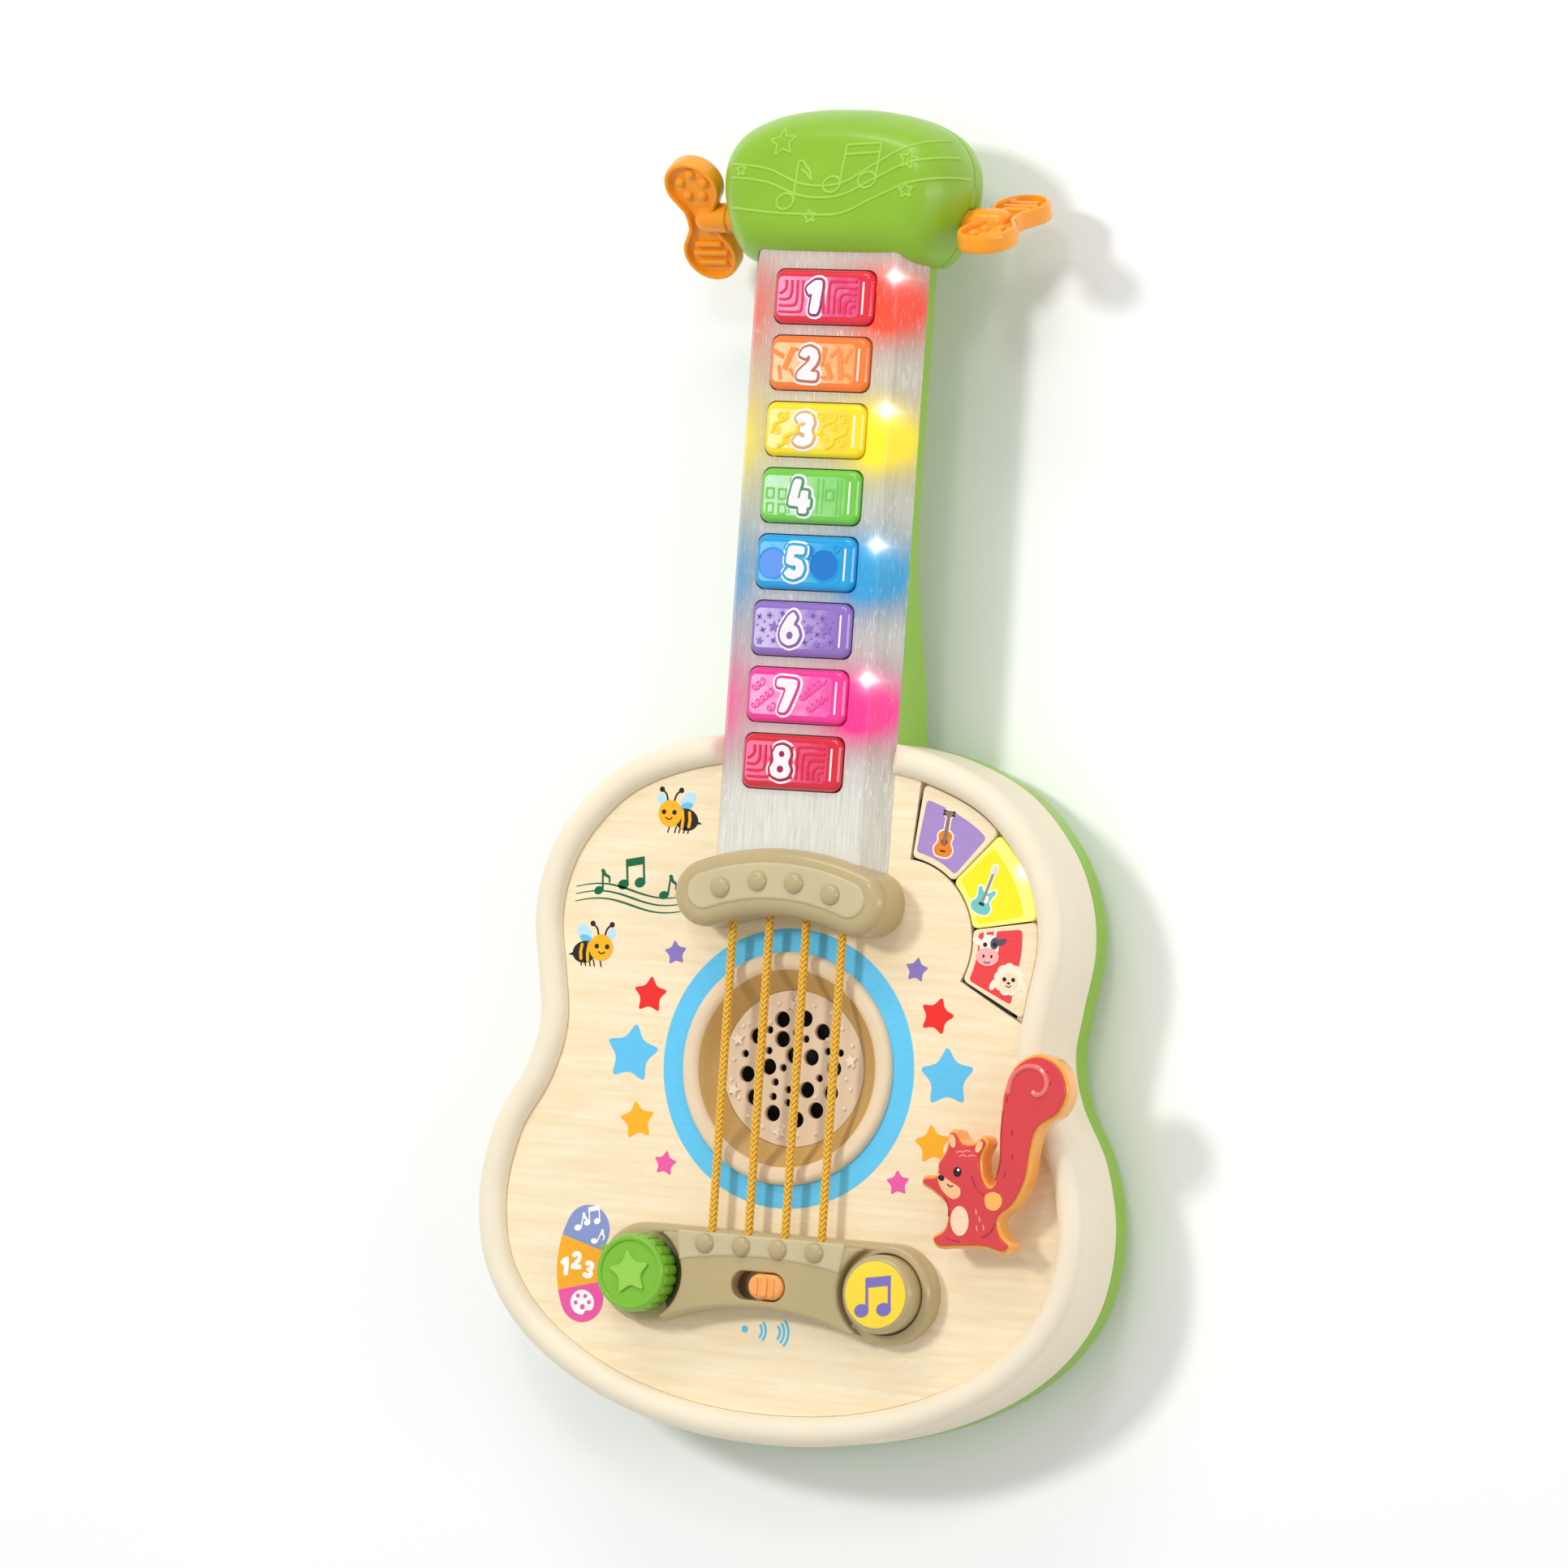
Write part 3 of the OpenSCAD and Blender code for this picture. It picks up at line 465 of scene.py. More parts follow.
def plastic(name, color, rough=0.34, vary=0.05, bump=0.12, grain=2600, coat=0.0, soft=0.0,
            glow=0.0):
    """Moulded plastic: slightly uneven colour, cloudy gloss, and the fine grain of the mould."""
    p = Paint(name)
    clouds = p.noise(38, 4)
    fine = p.noise(grain, 2)
    tone = p.ramp(clouds, scaled(color, 1 - vary), scaled(color, 1 + vary))
    p.set(Base_Color=tone, Roughness=p.span(p.noise(90, 5), rough - 0.05, rough + 0.07))
    p.set(Normal=p.bump(p.plus(p.times(fine, 0.4), p.noise(170, 2)), bump))
    p.set(Coat_Weight=coat, Coat_Roughness=0.08)
    if soft:
        p.set(Subsurface_Weight=soft, Subsurface_Radius=(0.006, 0.005, 0.004), Subsurface_Scale=0.6)
    if glow:
        p.set(Emission_Color=tone, Emission_Strength=glow)
    return p.material


def wood_flecks(p):
    """Short dark flecks of the birch, along its grain."""
    return p.noise(17, 3, p.stretched((16, 110, 60), -5))


def birch():
    """Clear-coated birch ply, its grain across the toy, with long faint waves and short flecks."""
    p = Paint("birch")
    grain = p.stretched((13, 200, 60), -6)
    bands = p.noise(2.3, 6, grain, 0.5)
    waves = p.noise(1.1, 3, p.stretched((14, 46, 20), -16, (0.3, 0.1, 0)), 1.6)
    flecks = wood_flecks(p)
    tone = p.ramp(bands, rgb(242, 220, 178), rgb(251, 236, 204), 0.28, 0.72)
    tone = p.mix(p.span(waves, 0.0, 0.24, 0.5, 0.8), tone, rgb(233, 203, 152))
    tone = p.mix(p.span(flecks, 0.0, 0.32, 0.55, 0.75), tone, rgb(229, 204, 160))
    p.set(Base_Color=tone, Roughness=p.span(flecks, 0.42, 0.56), Coat_Weight=0.15, Coat_Roughness=0.25)
    p.set(Normal=p.bump(p.plus(flecks, p.times(bands, 0.6)), 0.22, 0.00012))
    return p.material


def ink(name, color):
    """Printing on the wood, through which the grain still shows a little."""
    p = Paint(name)
    flecks = wood_flecks(p)
    p.set(Base_Color=p.ramp(flecks, scaled(color, 0.93), scaled(color, 1.04)))
    p.set(Roughness=p.span(flecks, 0.45, 0.58))
    p.set(Normal=p.bump(flecks, 0.16, 0.0001))
    return p.material


def lamp_light(p, x, y, reach, stretch=1.0):
    """How near a point is to a lamp, or to another spot where light is painted: a soft falloff, 1 at that
    spot. It masks painted glows and glints.
    """
    spot = at(x, y)
    near = p.add("Mapping", {"Vector": p.coords, "Location": (-spot.x, -spot.y * stretch, 0),
                             "Scale": (1, stretch, 0)}).outputs[0]
    far = p.add("VectorMath", {0: near}, operation="LENGTH").outputs["Value"]
    ratio = p.math("DIVIDE", far, reach * MM)
    return p.math("POWER", math.e, p.times(p.times(ratio, ratio), -1.0))


def frosted():
    """Frosted cover of the neck: silky streaks along it, with painted sparkle highlights, and a painted pool
    of light and a painted glint at each of the four coloured lamps under it.
    """
    p = Paint("frosted_cover")
    streaks = p.noise(5, 5, p.stretched((300, 14, 60)), 0.3)
    hairs = p.noise(5, 3, p.stretched((620, 60, 100)), 0.6)
    flecks = p.noise(5, 2, p.stretched((430, 52, 60), 0, (0.4, 0.2, 0)), 0.3)
    patches = p.noise(26, 2)
    tone = p.ramp(streaks, rgb(206, 205, 192), rgb(238, 236, 228), 0.25, 0.78)
    # Painted sparkle highlights: short bright flecks along the cover, in patches, mixed towards white.
    painted_sparkle = p.times(p.span(flecks, 0.0, 1.0, 0.6, 0.66), p.span(patches, 0.25, 1.0, 0.42, 0.62))
    tone = p.mix(p.times(painted_sparkle, 0.75), tone, rgb(255, 255, 252))
    light = total = glare = None
    # Painted light: a pool of each lamp's colour in the cover's colour and emission, beside and below the
    # lamp.
    for (x, y), color in LAMPS:
        pool = p.plus(lamp_light(p, x - 1, y - 10, 14, 1.05),
                      p.times(lamp_light(p, -31, y - 12, 13, 0.6), 0.75))
        pool = p.plus(pool, p.times(lamp_light(p, 4, y - 8, 33, 1.5), 0.45))
        part = p.mix(p.math("MINIMUM", pool, 1.0), (0, 0, 0, 1), color)
        light = part if light is None else p.mix(1.0, light, part, "ADD")
        total = pool if total is None else p.plus(total, pool)
    total = p.math("MINIMUM", total, 1.0)
    faded = p.times(total, p.math("SUBTRACT", 0.97, p.times(painted_sparkle, 0.3)))
    tone = p.mix(faded, tone, light)
    # Painted glints at the lamps: a bright core, a halo and four short rays, as emission.
    for (x, y), _ in LAMPS:
        core = lamp_light(p, x, y, 2.3)
        halo = p.times(lamp_light(p, x, y, 5.6), 0.5)
        rays = p.plus(lamp_light(p, x, y, 4.6, 6), lamp_light(p, x, y, 0.8, 0.17))
        spot = p.plus(core, p.plus(halo, p.times(rays, 0.3)))
        glare = spot if glare is None else p.plus(glare, spot)
    glow = p.mix(p.math("MINIMUM", glare, 1.0), p.mix(1.0, (0, 0, 0, 1), light, "ADD"), (1, 1, 1, 1))
    strength = p.plus(p.times(total, 0.1), p.times(glare, 0.62))
    p.set(Base_Color=tone, Roughness=p.span(hairs, 0.26, 0.5))
    p.set(Emission_Color=glow, Emission_Strength=strength)
    p.set(Subsurface_Weight=0.08, Subsurface_Radius=(0.004, 0.004, 0.004), Subsurface_Scale=0.5)
    p.set(Normal=p.bump(p.plus(hairs, painted_sparkle), 0.35, 0.0003))
    return p.material


def braid():
    """Golden braided cord: the strands' own heights paint shade into the grooves between them and a highlight
    onto their crests.
    """
    p = Paint("golden_braid")
    height = p.add("Attribute", attribute_name="strand").outputs["Fac"]
    tone = p.ramp(height, rgb(118, 62, 2), rgb(255, 198, 52), 0.02, 0.66)
    threads = p.noise(9, 2, p.stretched((900, 400, 900)))
    p.set(Base_Color=p.mix(p.span(threads, 0, 0.35), tone, rgb(216, 150, 26)))
    p.set(Roughness=0.5, Sheen_Weight=0.3, Normal=p.bump(threads, 0.5, 0.0001))
    return p.material


def metal(name, color, rough=0.3):
    p = Paint(name)
    lines = p.noise(12, 3, p.stretched((400, 60, 400)))
    p.set(Base_Color=p.ramp(lines, scaled(color, 0.9), scaled(color, 1.05)), Metallic=1.0)
    p.set(Roughness=p.span(lines, rough - 0.06, rough + 0.1), Normal=p.bump(lines, 0.2, 0.0001))
    return p.material


def key_face(name, color, light, x0, x1):
    """Clear face of a number key over its bright printed ground, brighter towards the left by a painted
    reflection.
    """
    p = Paint(name)
    x = p.add("SeparateXYZ", {"Vector": p.coords}).outputs["X"]
    # Painted reflection: the colour runs from light at the left to deep at the right.
    along = p.span(x, 0.0, 1.0, at(x0, 0).x, at(x1, 0).x)
    cloud = p.plus(along, p.span(p.noise(260, 3), -0.22, 0.22))
    p.set(Base_Color=p.ramp(cloud, light, color, 0.1, 0.95))
    p.set(Roughness=p.span(p.noise(300, 3), 0.2, 0.34))
    p.set(Coat_Weight=0.7, Coat_Roughness=0.06, Normal=p.bump(p.noise(900, 2), 0.1, 0.0001))
    p.set(Subsurface_Weight=0.1, Subsurface_Radius=(0.003, 0.003, 0.003), Subsurface_Scale=0.5)
    return p.material


# The four lamps under the neck cover: their places and colours, for the light painted onto the cover.
LAMP_COLORS = [rgb(244, 62, 36), rgb(255, 228, 0), rgb(0, 152, 208), rgb(248, 34, 140)]
LAMPS = [((25, KEY_PLACES[2 * i].y + 7.6 - 0.3 * i), LAMP_COLORS[i]) for i in range(4)]

CREAM = rgb(240, 228, 203)
GREEN = rgb(138, 185, 43)
TAUPE = rgb(186, 167, 122)
# The lighter taupe of the bridges' plateaus is a painted highlight on their top faces.
TAUPE_PAINTED_HIGHLIGHT = rgb(201, 186, 147)
ORANGE = rgb(255, 160, 26)
M = {
    "cream": plastic("cream_plastic", CREAM, 0.42, 0.02, 0.08),
    "green": plastic("green_plastic", GREEN, 0.33, 0.03, 0.04, coat=0.15),
    # Lighter green of the headstock relief: a painted highlight on the embossing.
    "green_painted_highlight": plastic("green_relief", rgb(162, 206, 74), 0.3, 0.03, 0.04),
    "taupe": plastic("taupe_plastic", TAUPE, 0.3, 0.03, 0.05, coat=0.35),
    "taupe_painted_highlight": plastic("taupe_plateau", TAUPE_PAINTED_HIGHLIGHT, 0.42, 0.04, 0.22),
    "orange": plastic("orange_plastic", ORANGE, 0.27, 0.05, 0.08, coat=0.3, soft=0.08),
    "ring": plastic("ring_plastic", rgb(233, 211, 178), 0.5, 0.04, 0.16, 1500),
    # The bowl's darker tan is partly its own colour and partly painted shade of the recess.
    "bowl": plastic("bowl_plastic", rgb(194, 156, 90), 0.4, 0.04, 0.08),
    "grille": plastic("grille_plastic", rgb(228, 204, 174), 0.55, 0.04, 0.2, 1500),
    "knob": plastic("knob_plastic", rgb(124, 188, 50), 0.26, 0.04, 0.04, coat=0.35),
    "knob_light": plastic("knob_star", rgb(150, 206, 78), 0.26, 0.04, 0.04, coat=0.35),
    # Lighter cream of the grille's dots and stars: a painted highlight on the relief.
    "grille_painted_highlight": plastic("grille_relief", rgb(244, 228, 204), 0.4, 0.03, 0.1),
    "slider": plastic("slider_plastic", rgb(248, 168, 92), 0.36, 0.05, 0.1),
    "white": plastic("white_plastic", rgb(232, 232, 230), 0.4),
    "black": plastic("black_plastic", rgb(28, 26, 25), 0.42, 0.2),
    "board": plastic("circuit_board", rgb(26, 92, 48), 0.38, 0.18, 0.2, 900),
    "mat": plastic("mat_rubber", rgb(214, 214, 208), 0.66),
    "lamp": plastic("lamp_epoxy", rgb(240, 240, 232), 0.12, glow=0.6),
    "wrap": plastic("cell_sleeve", rgb(196, 150, 50), 0.28, 0.12, coat=0.4),
    "paper": plastic("cone_paper", rgb(34, 31, 30), 0.85, 0.3, 0.6, 700),
    "grey_wire": plastic("grey_insulation", rgb(120, 120, 124), 0.4),
    "red_wire": plastic("red_insulation", rgb(196, 30, 30), 0.4),
    "black_wire": plastic("black_insulation", rgb(26, 26, 28), 0.4),
    "steel": metal("plated_steel", rgb(200, 200, 200)),
    "birch": birch(),
    "frosted": frosted(),
    "braid": braid(),
}


# ---------- housing ----------
def mirrored(bottom, half, top):
    """A closed outline from its right half, which runs from the bottom to the top."""
    return [bottom] + half + [top] + [(-x, y) for x, y in reversed(half)]


BODY_HALF = [(34, -123.2), (66, -113.4), (92.6, -97), (108.9, -75.6), (113.8, -50), (109.2, -25),
             (98.9, -5.5), (94.8, 10), (96.6, 26), (99.4, 45), (97, 63), (88.5, 80.3),
             (71.7, 97.2), (48, 107.6), (22, 112)]
HEAD_HALF = [(22, 269.6), (33.4, 271), (39, 276.4), (42.6, 285), (44.6, 296), (43.4, 306),
             (37.4, 314.4), (26, 320), (12, 322.5)]
BODY_POINTS = mirrored((0, -126.2), BODY_HALF, (0, 113))
BODY = spline(BODY_POINTS, 20)
HEAD = spline(mirrored((0, 269.4), HEAD_HALF, (0, 323)), 9)
SCREW_STEPS = [7, 17, 28, 39, 57, 68, 79, 89]
BODY_SCREWS = [inset(spline(BODY_POINTS, 3), 10)[i] for i in SCREW_STEPS]
NECK_SCREWS = [(x, (KEY_PLACES[i].y + KEY_PLACES[i + 1].y) / 2) for i in (0, 2) for x in (-23, 23)]
RIM = 10.0
WALL = 2.4
NECK_HALF = 32.5
HEAD_SEAM = -5.0
HEAD_FRONT, HEAD_REAR = 22.5, 18.0
HOLE_R = 3.2
SCREW_HEAD_Z = -32.0
FAN_X, FAN_Y, FAN_R = 38, 46, 27.4
FAN_EDGES = [84, 47, 10, -27]
GAP_FROM_NECK = 33.0   # where the rim begins, beside the neck
RIM_END = 6.0          # over which it rises to its full height
SEAM = -24.0           # between the bezel and the rear shell


def sweep(path, section):
    """A moulding along a closed path. section gives, for a point of the path, the
    (distance in, height) of each of its corners."""
    corners = [section(*p) for p in path]
    loops = [inset(path, corners[0][j][0]) for j in range(len(corners[0]))]
    rings = [[(*loop[i], corners[i][j][1]) for j, loop in enumerate(loops)] for i in range(len(path))]
    return loft(rings, closed=True)


def bezel_section(x, y):
    """Round rim, side wall and the ledge that the panel lies on. The rim ends beside the neck."""
    t = min(max((abs(x) - GAP_FROM_NECK) / RIM_END, 0.0), 1.0) if y > 60 else 1.0
    height = math.sqrt(1 - (1 - t) ** 2)
    bow = [(px, pz * height if pz > 0 else pz) for px, pz in arc(RIM / 2, 0, RIM / 2, 180, 0, 16)]
    ledge = [(RIM, -3), (RIM + 4, -3), (RIM + 4, -5), (WALL, -5), (WALL, SEAM)]
    return [(0.3, SEAM), (0, SEAM + 0.3)] + bow + ledge


def shell_section(x, y):
    """Side wall of the rear shell, and its turn of 12 mm into the back."""
    outer = arc(12, BACK_Z + 12, 12, 270, 180, 10)
    inner = arc(12, BACK_Z + 12, 12 - WALL, 180, 270, 8)
    edge = [(0, SEAM - 0.5), (0.3, SEAM - 0.2), (WALL, SEAM - 0.2)]
    return [(14, BACK_Z)] + outer + edge + inner + [(14, BACK_Z + WALL)]


def rod(x, y, r, z0, z1, n=32):
    """An upright round bar."""
    return loft([hoop(x, y, r, z, n) for z in (z0, z1)])


def block(x0, x1, y0, y1, z0, z1):
    return loft([[(x0, y0, z), (x1, y0, z), (x1, y1, z), (x0, y1, z)] for z in (z0, z1)])


def across(profile):
    """A round bar along the tuners' axis: pairs of (x, radius)."""
    return loft([[(x, py, pz) for py, pz in circle(TUNER.y, TUNER.z, r, 40)] for x, r in profile])


def screw_tube(x, y, z0, z1, floor, r):
    """A boss with the hole that a screw's head sits in."""
    return lathe([(HOLE_R, z0), (HOLE_R, floor), (0.05, floor), (0.05, z1), (r, z1), (r, z0)], x, y, 32)


def neck_section(y, wall_in, top):
    """Half round trough of the neck at y. It is deeper at the heel."""
    u = min(max((185 - y) / 78, 0), 1)
    depth = 15 + 18 * u * u * (3 - 2 * u)
    w, r = NECK_HALF - 0.2, 12
    right = arc(w - r, r - depth, r - wall_in, 0, -90, 9)
    left = arc(r - w, r - depth, r - wall_in, -90, -180, 9)
    return [(px, y, pz) for px, pz in [(w - wall_in, top)] + right + left + [(wall_in - w, top)]]


def neck_trough():
    ys = [110 + 4 * k for k in range(20)] + [214, 248, 282]
    return loft([neck_section(y, 0, 0) + neck_section(y, WALL, 0)[::-1] for y in ys])


def head_loop(d, z, size=1.0):
    """Ring of the headstock d in from its edge, then shrunk about its middle."""
    half_l, mid_y = 26.8, 296.2
    return [(x * (1 - d / 44.6) * size, mid_y + (y - mid_y) * (1 - d / half_l) * size, HEAD_SEAM + z)
            for x, y in HEAD]


def head_cup(sign):
    """Half of the headstock: a thick shell with a slightly domed face."""
    depth = HEAD_FRONT if sign > 0 else HEAD_REAR
    rise = depth - 3
    curve = [(15 + 15 * a, 3 + rise * b) for a, b in arc(0, 0, 1, 180, 90, 12)]
    face = [(15, depth + 0.8 * (1 - s * s) ** 2, s) for s in (0.86, 0.72, 0.58, 0.44, 0.3, 0.16, 0.04)]
    outer = [(0.5, 0.12, 1), (0.08, 0.6, 1)] + [(d, z, 1) for d, z in curve] + face
    inner = [(WALL, 0.12, 1)]
    inner += [(15 + (15 - WALL) * a, 3 + (rise - WALL) * b, 1) for a, b in arc(0, 0, 1, 180, 90, 8)]
    inner += [(15, z - WALL, s) for d, z, s in face[::2]]
    rings = [head_loop(d, sign * z, s) for d, z, s in inner[::-1] + outer]
    return loft(rings)


def cover_section(wall_in, y, floor=0.0):
    """Outside of the neck cover, wall_in inwards: a low trapezium with round shoulders."""
    right = arc(24, 8.5, 3 - wall_in, 20, 90, 6)
    left = arc(-24, 8.5, 3 - wall_in, 90, 160, 6)
    foot = NECK_HALF - wall_in
    return [(px, y, pz) for px, pz in [(foot, floor)] + right + left + [(-foot, floor)]]


def green_piece(name, solids, minus=()):
    """A green piece, which stands for the CAD node of its name, if there is one."""
    nodes = [name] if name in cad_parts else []
    return piece(name, solids, "green", "green_plastic", stands_for=nodes, minus=minus)


def housing():
    posts = [rod(x, y, 4.4, SEAM, -4) for x, y in BODY_SCREWS]
    piece("front_bezel", [sweep(BODY, bezel_section)] + posts, "cream", "cream_plastic",
          stands_for=["front_bezel"])
    door = rounded(0, -79, 65, 63, 6)
    vents = [rounded(x, 14, 2, 20, 0.9) for x in range(-21, 22, 7)]
    floor = plate([inset(BODY, 13.4), door] + vents, BACK_Z + 0.02, BACK_Z + WALL - 0.02)
    green_piece("rear_shell", [sweep(BODY, shell_section)],
                [rod(x, y, HOLE_R, BACK_Z - 2, SCREW_HEAD_Z) for x, y in BODY_SCREWS])
    green_piece("rear_floor", [floor])
    green_piece("rear_bosses", [screw_tube(x, y, BACK_Z + 2.2, SEAM - 0.2, SCREW_HEAD_Z, 4.4)
                                for x, y in BODY_SCREWS])
    green_piece("neck_rear", [neck_trough()], [rod(x, y, HOLE_R, -17, -12) for x, y in NECK_SCREWS])
    green_piece("neck_bosses", [screw_tube(x, y, -12.4, -0.2, -12, 4) for x, y in NECK_SCREWS])
    over = loft([cover_section(-0.3, y, -0.3) for y in (255, 264, 273, 282)])
    under = block(-NECK_HALF - 0.1, NECK_HALF + 0.1, 255, 283, -15.3, 0.1)
    shafts = across([(-60, 4.8), (60, 4.8)])
    front = green_piece("head_front", [head_cup(1)], [over, under, shafts])
    green_piece("head_rear", [head_cup(-1)], [under, shafts])
    cover = loft([cover_section(0, y) + cover_section(2, y)[::-1] for y in range(61, 282, 22)])
    piece("neck_cover", [cover], "frosted", "frosted_plastic", stands_for=["neck_cover"],
          minus=[plate(rounded(0, p.y, 37.8, 19.0, 3.2), 5, 14) for p in KEY_PLACES])
    return front


def raised(surface, line, r, closed=False):
    """A bead along a line, laid on a surface as seen from above, into which it sinks a little."""
    step, sink = 0.9, 0.2
    dense = []
    points = line + line[:1] if closed else line
    for a, b in zip(points, points[1:]):
        count = max(1, round(math.dist(a, b) / step))
        dense += [tuple(a[i] + (b[i] - a[i]) * k / count for i in (0, 1)) for k in range(count)]
    dense += [] if closed else [line[-1]]
    laid = []
    for x, y in dense:
        hit = surface.ray_cast(at(x, y, 40), Vector((0, 0, -1)))
        if hit[0] is not None:
            laid.append((x, y, (hit[0].z - HOLE.z) / MM - sink * r))
    return tube(laid, r, 8, closed)


def head_relief(front):
    """Staves, notes and stars, embossed on the face of the headstock, in a lighter green that is a painted
    highlight.
    """
    surface = BVHTree.FromObject(front, bpy.context.evaluated_depsgraph_get())
    solids = []
    for y0, y, x1, y1 in [(302, 294.5, 41, 313), (297.5, 290.5, 44.5, 307), (287.5, 284.5, 44.5, 300)]:
        line = open_spline([(-36, y0), (-22, y0 - 1.5), (-8, y + 1), (6, y + 1.5), (18, (y + y1) / 2 - 1),
                            (30, y1 - 3.5), (x1, y1)], 10)
        solids.append(raised(surface, line, 0.55))
    for place in [(-17, 309.5, 5, 8), (-32, 300, 2.2, 0), (-5, 284.8, 2.4, 12), (30, 304.5, 3.4, -10),
                  (30, 294.2, 2.7, 5)]:
        solids.append(raised(surface, star(*place, 0.45, 0.12), 0.5, True))
    for x, y in [(-14.4, 289.6), (2.8, 295.6), (15.6, 297.4)]:
        solids.append(raised(surface, oval(x, y, 3.3, 2.5, 25), 0.6, True))
    for line in [[(-11.2, 290.4), (-10.2, 303), (-8.6, 303.4), (-5.4, 299.6), (-4.6, 296.4), (-6.6, 299),
                  (-9, 300.4)],
                 [(5.9, 296.6), (7.2, 309), (19.9, 309.9), (18.7, 298.2)],
                 [(7, 305.8), (19.6, 306.8)]]:
        solids.append(raised(surface, line, 0.6))
    piece("head_relief", solids, "green_painted_highlight", "green_plastic", sharp=60)


def panel():
    """Birch panel with its openings. The fan of picture keys takes a wedge out of it."""
    outline = inset(BODY, RIM + 0.1)
    openings = [circle(0, 0, 35.2, 96), circle(-SEAT_X, SEAT_Y, 5), circle(SEAT_X, SEAT_Y, 8),
                rounded(0, SEAT_Y, 14, 5, 1), circle(LEVER.x, LEVER.y, 6.6), rounded(12, 65, 12, 8, 1)]
    a, b = FAN_EDGES[3] - 1.4, FAN_EDGES[0] + 1.4
    fan = arc(FAN_X, FAN_Y, 92, a, b, 60) + arc(FAN_X, FAN_Y, FAN_R - 0.7, b, a, 60)
    piece("wood_panel", [plate([outline] + openings, -3, 0, 0.0)], "birch", "birch",
          stands_for=["wood_panel"], minus=[plate(fan, -4, 2)])


def sound_hole_parts():
    ring = [(39.2, 0.0)] + arc(36.8, 0.3, 2.4, 0, 90, 8) + [(35.2, 2.62), (34.2, 2.2), (33.2, 1.3)]
    cone = [(26.5, -4.2), (26.5, -8), (28.4, -8), (28.4, -4.2), (34.4, -0.6), (34.4, 0.0)]
    piece("sound_ring", [lathe(ring + [(31.2, 0.2)] + cone, n=144)], "bowl", "cream_plastic",
          stands_for=["sound_ring"])
    lip = [(39.25, 0.05)] + arc(36.8, 0.35, 2.45, 0, 90, 8)
    lip += [(35.2, 2.67), (34.1, 2.3), (33.3, 1.5), (33.1, 1.2), (36, 0.4)]
    piece("sound_ring_lip", [lathe(lip, n=144)], "ring", "cream_plastic")
    grille = plate([circle(0, 0, 26.4, 96)] + [circle(x, y, 2.75, 28) for x, y in LARGE_HOLES]
                   + [circle(x, y, 1.3, 20) for x, y in MEDIUM_HOLES], -6, -4.2, 0.3, 0.35)
    dots = [arc(0, 0, 22.6 + 0.8 * (k % 2), 17 * k + 6, 0, 1)[0] for k in range(21)]
    dots += [(2, 7.8), (12, 10.5), (-9.6, 15), (9, -9), (-12, -5.6), (-19.8, 13), (-2.2, -19.6), (20, -2.2)]
    solids = [dome(x, y, -4.25, 0.85, 0.9, 14, 4) for x, y in dots if math.hypot(x, y) < 25]
    solids += [plate(star(x, y, 2.6, angle, 0.48, 0.15), -4.4, -3.3, 0.3) for x, y, angle in
               [(-21.3, 8.5, 10), (-21.8, -8.6, -14), (-2.5, 21.5, 0), (-3.5, -21.6, 20), (21.4, 4, 8)]]
    piece("speaker_grille", [grille], "grille", "pale_plastic", stands_for=["speaker_grille"])
    # Dots and stars of the grille, in the lighter cream of a painted highlight.
    piece("speaker_grille_relief", solids, "grille_painted_highlight", "pale_plastic")


LARGE_HOLES = [(-5.5, 16.2), (9.8, 13), (-14.5, 10), (-5, 9.6), (3, 17), (6.3, 4.2), (-0.6, 4.4), (-9.4, 0),
               (-17.4, -3), (5.4, -6.8), (14.4, -7.2), (-14.4, -10.6), (9.3, -13.4), (-6.8, -15.5),
               (2.2, -17), (15, 1)]
MEDIUM_HOLES = [(-18.6, 3.8), (-9.8, 5.4), (-0.2, 12), (3.8, 10.2), (12.2, 6.6), (-4, 0), (0.6, -3.2),
                (-6.6, -5), (-1.6, -7.2), (-7, -9.9), (-1.4, -11.6), (9.8, -2.6), (-10, 12.4), (17, 6.4)]


# ---------- bridges and strings ----------
def upper_bridge():
    band = stroke(arc(0, -16, 78.1, 68.9, 111.1, 60), 22.6, 14)
    top = stroke(arc(0, -16, 78.4, 69.8, 110.2, 60), 12.4, 14)
    domes = [dome(x, 59.0 if abs(x) > 15 else 62.0, 18.5, 3.6, 2.2, 36, 8) for x in STRING_X]
    piece("upper_bridge", [crown(band, rounded_levels(0, 18, 4.6, 9))] + domes, "taupe", "taupe_plastic",
          stands_for=["upper_bridge"])
    # The plateau in lighter taupe: a painted highlight on the bridge's top.
    piece("upper_bridge_plateau", [crown(top, [(0, 17.6), (0.1, 18.1), (0.5, 18.5), (1.2, 18.7)])],
          "taupe_painted_highlight", "taupe_plastic")


def arch(x):
    """Lower edge of the lower bridge."""
    return -182.5 + math.sqrt(102 ** 2 - x * x)


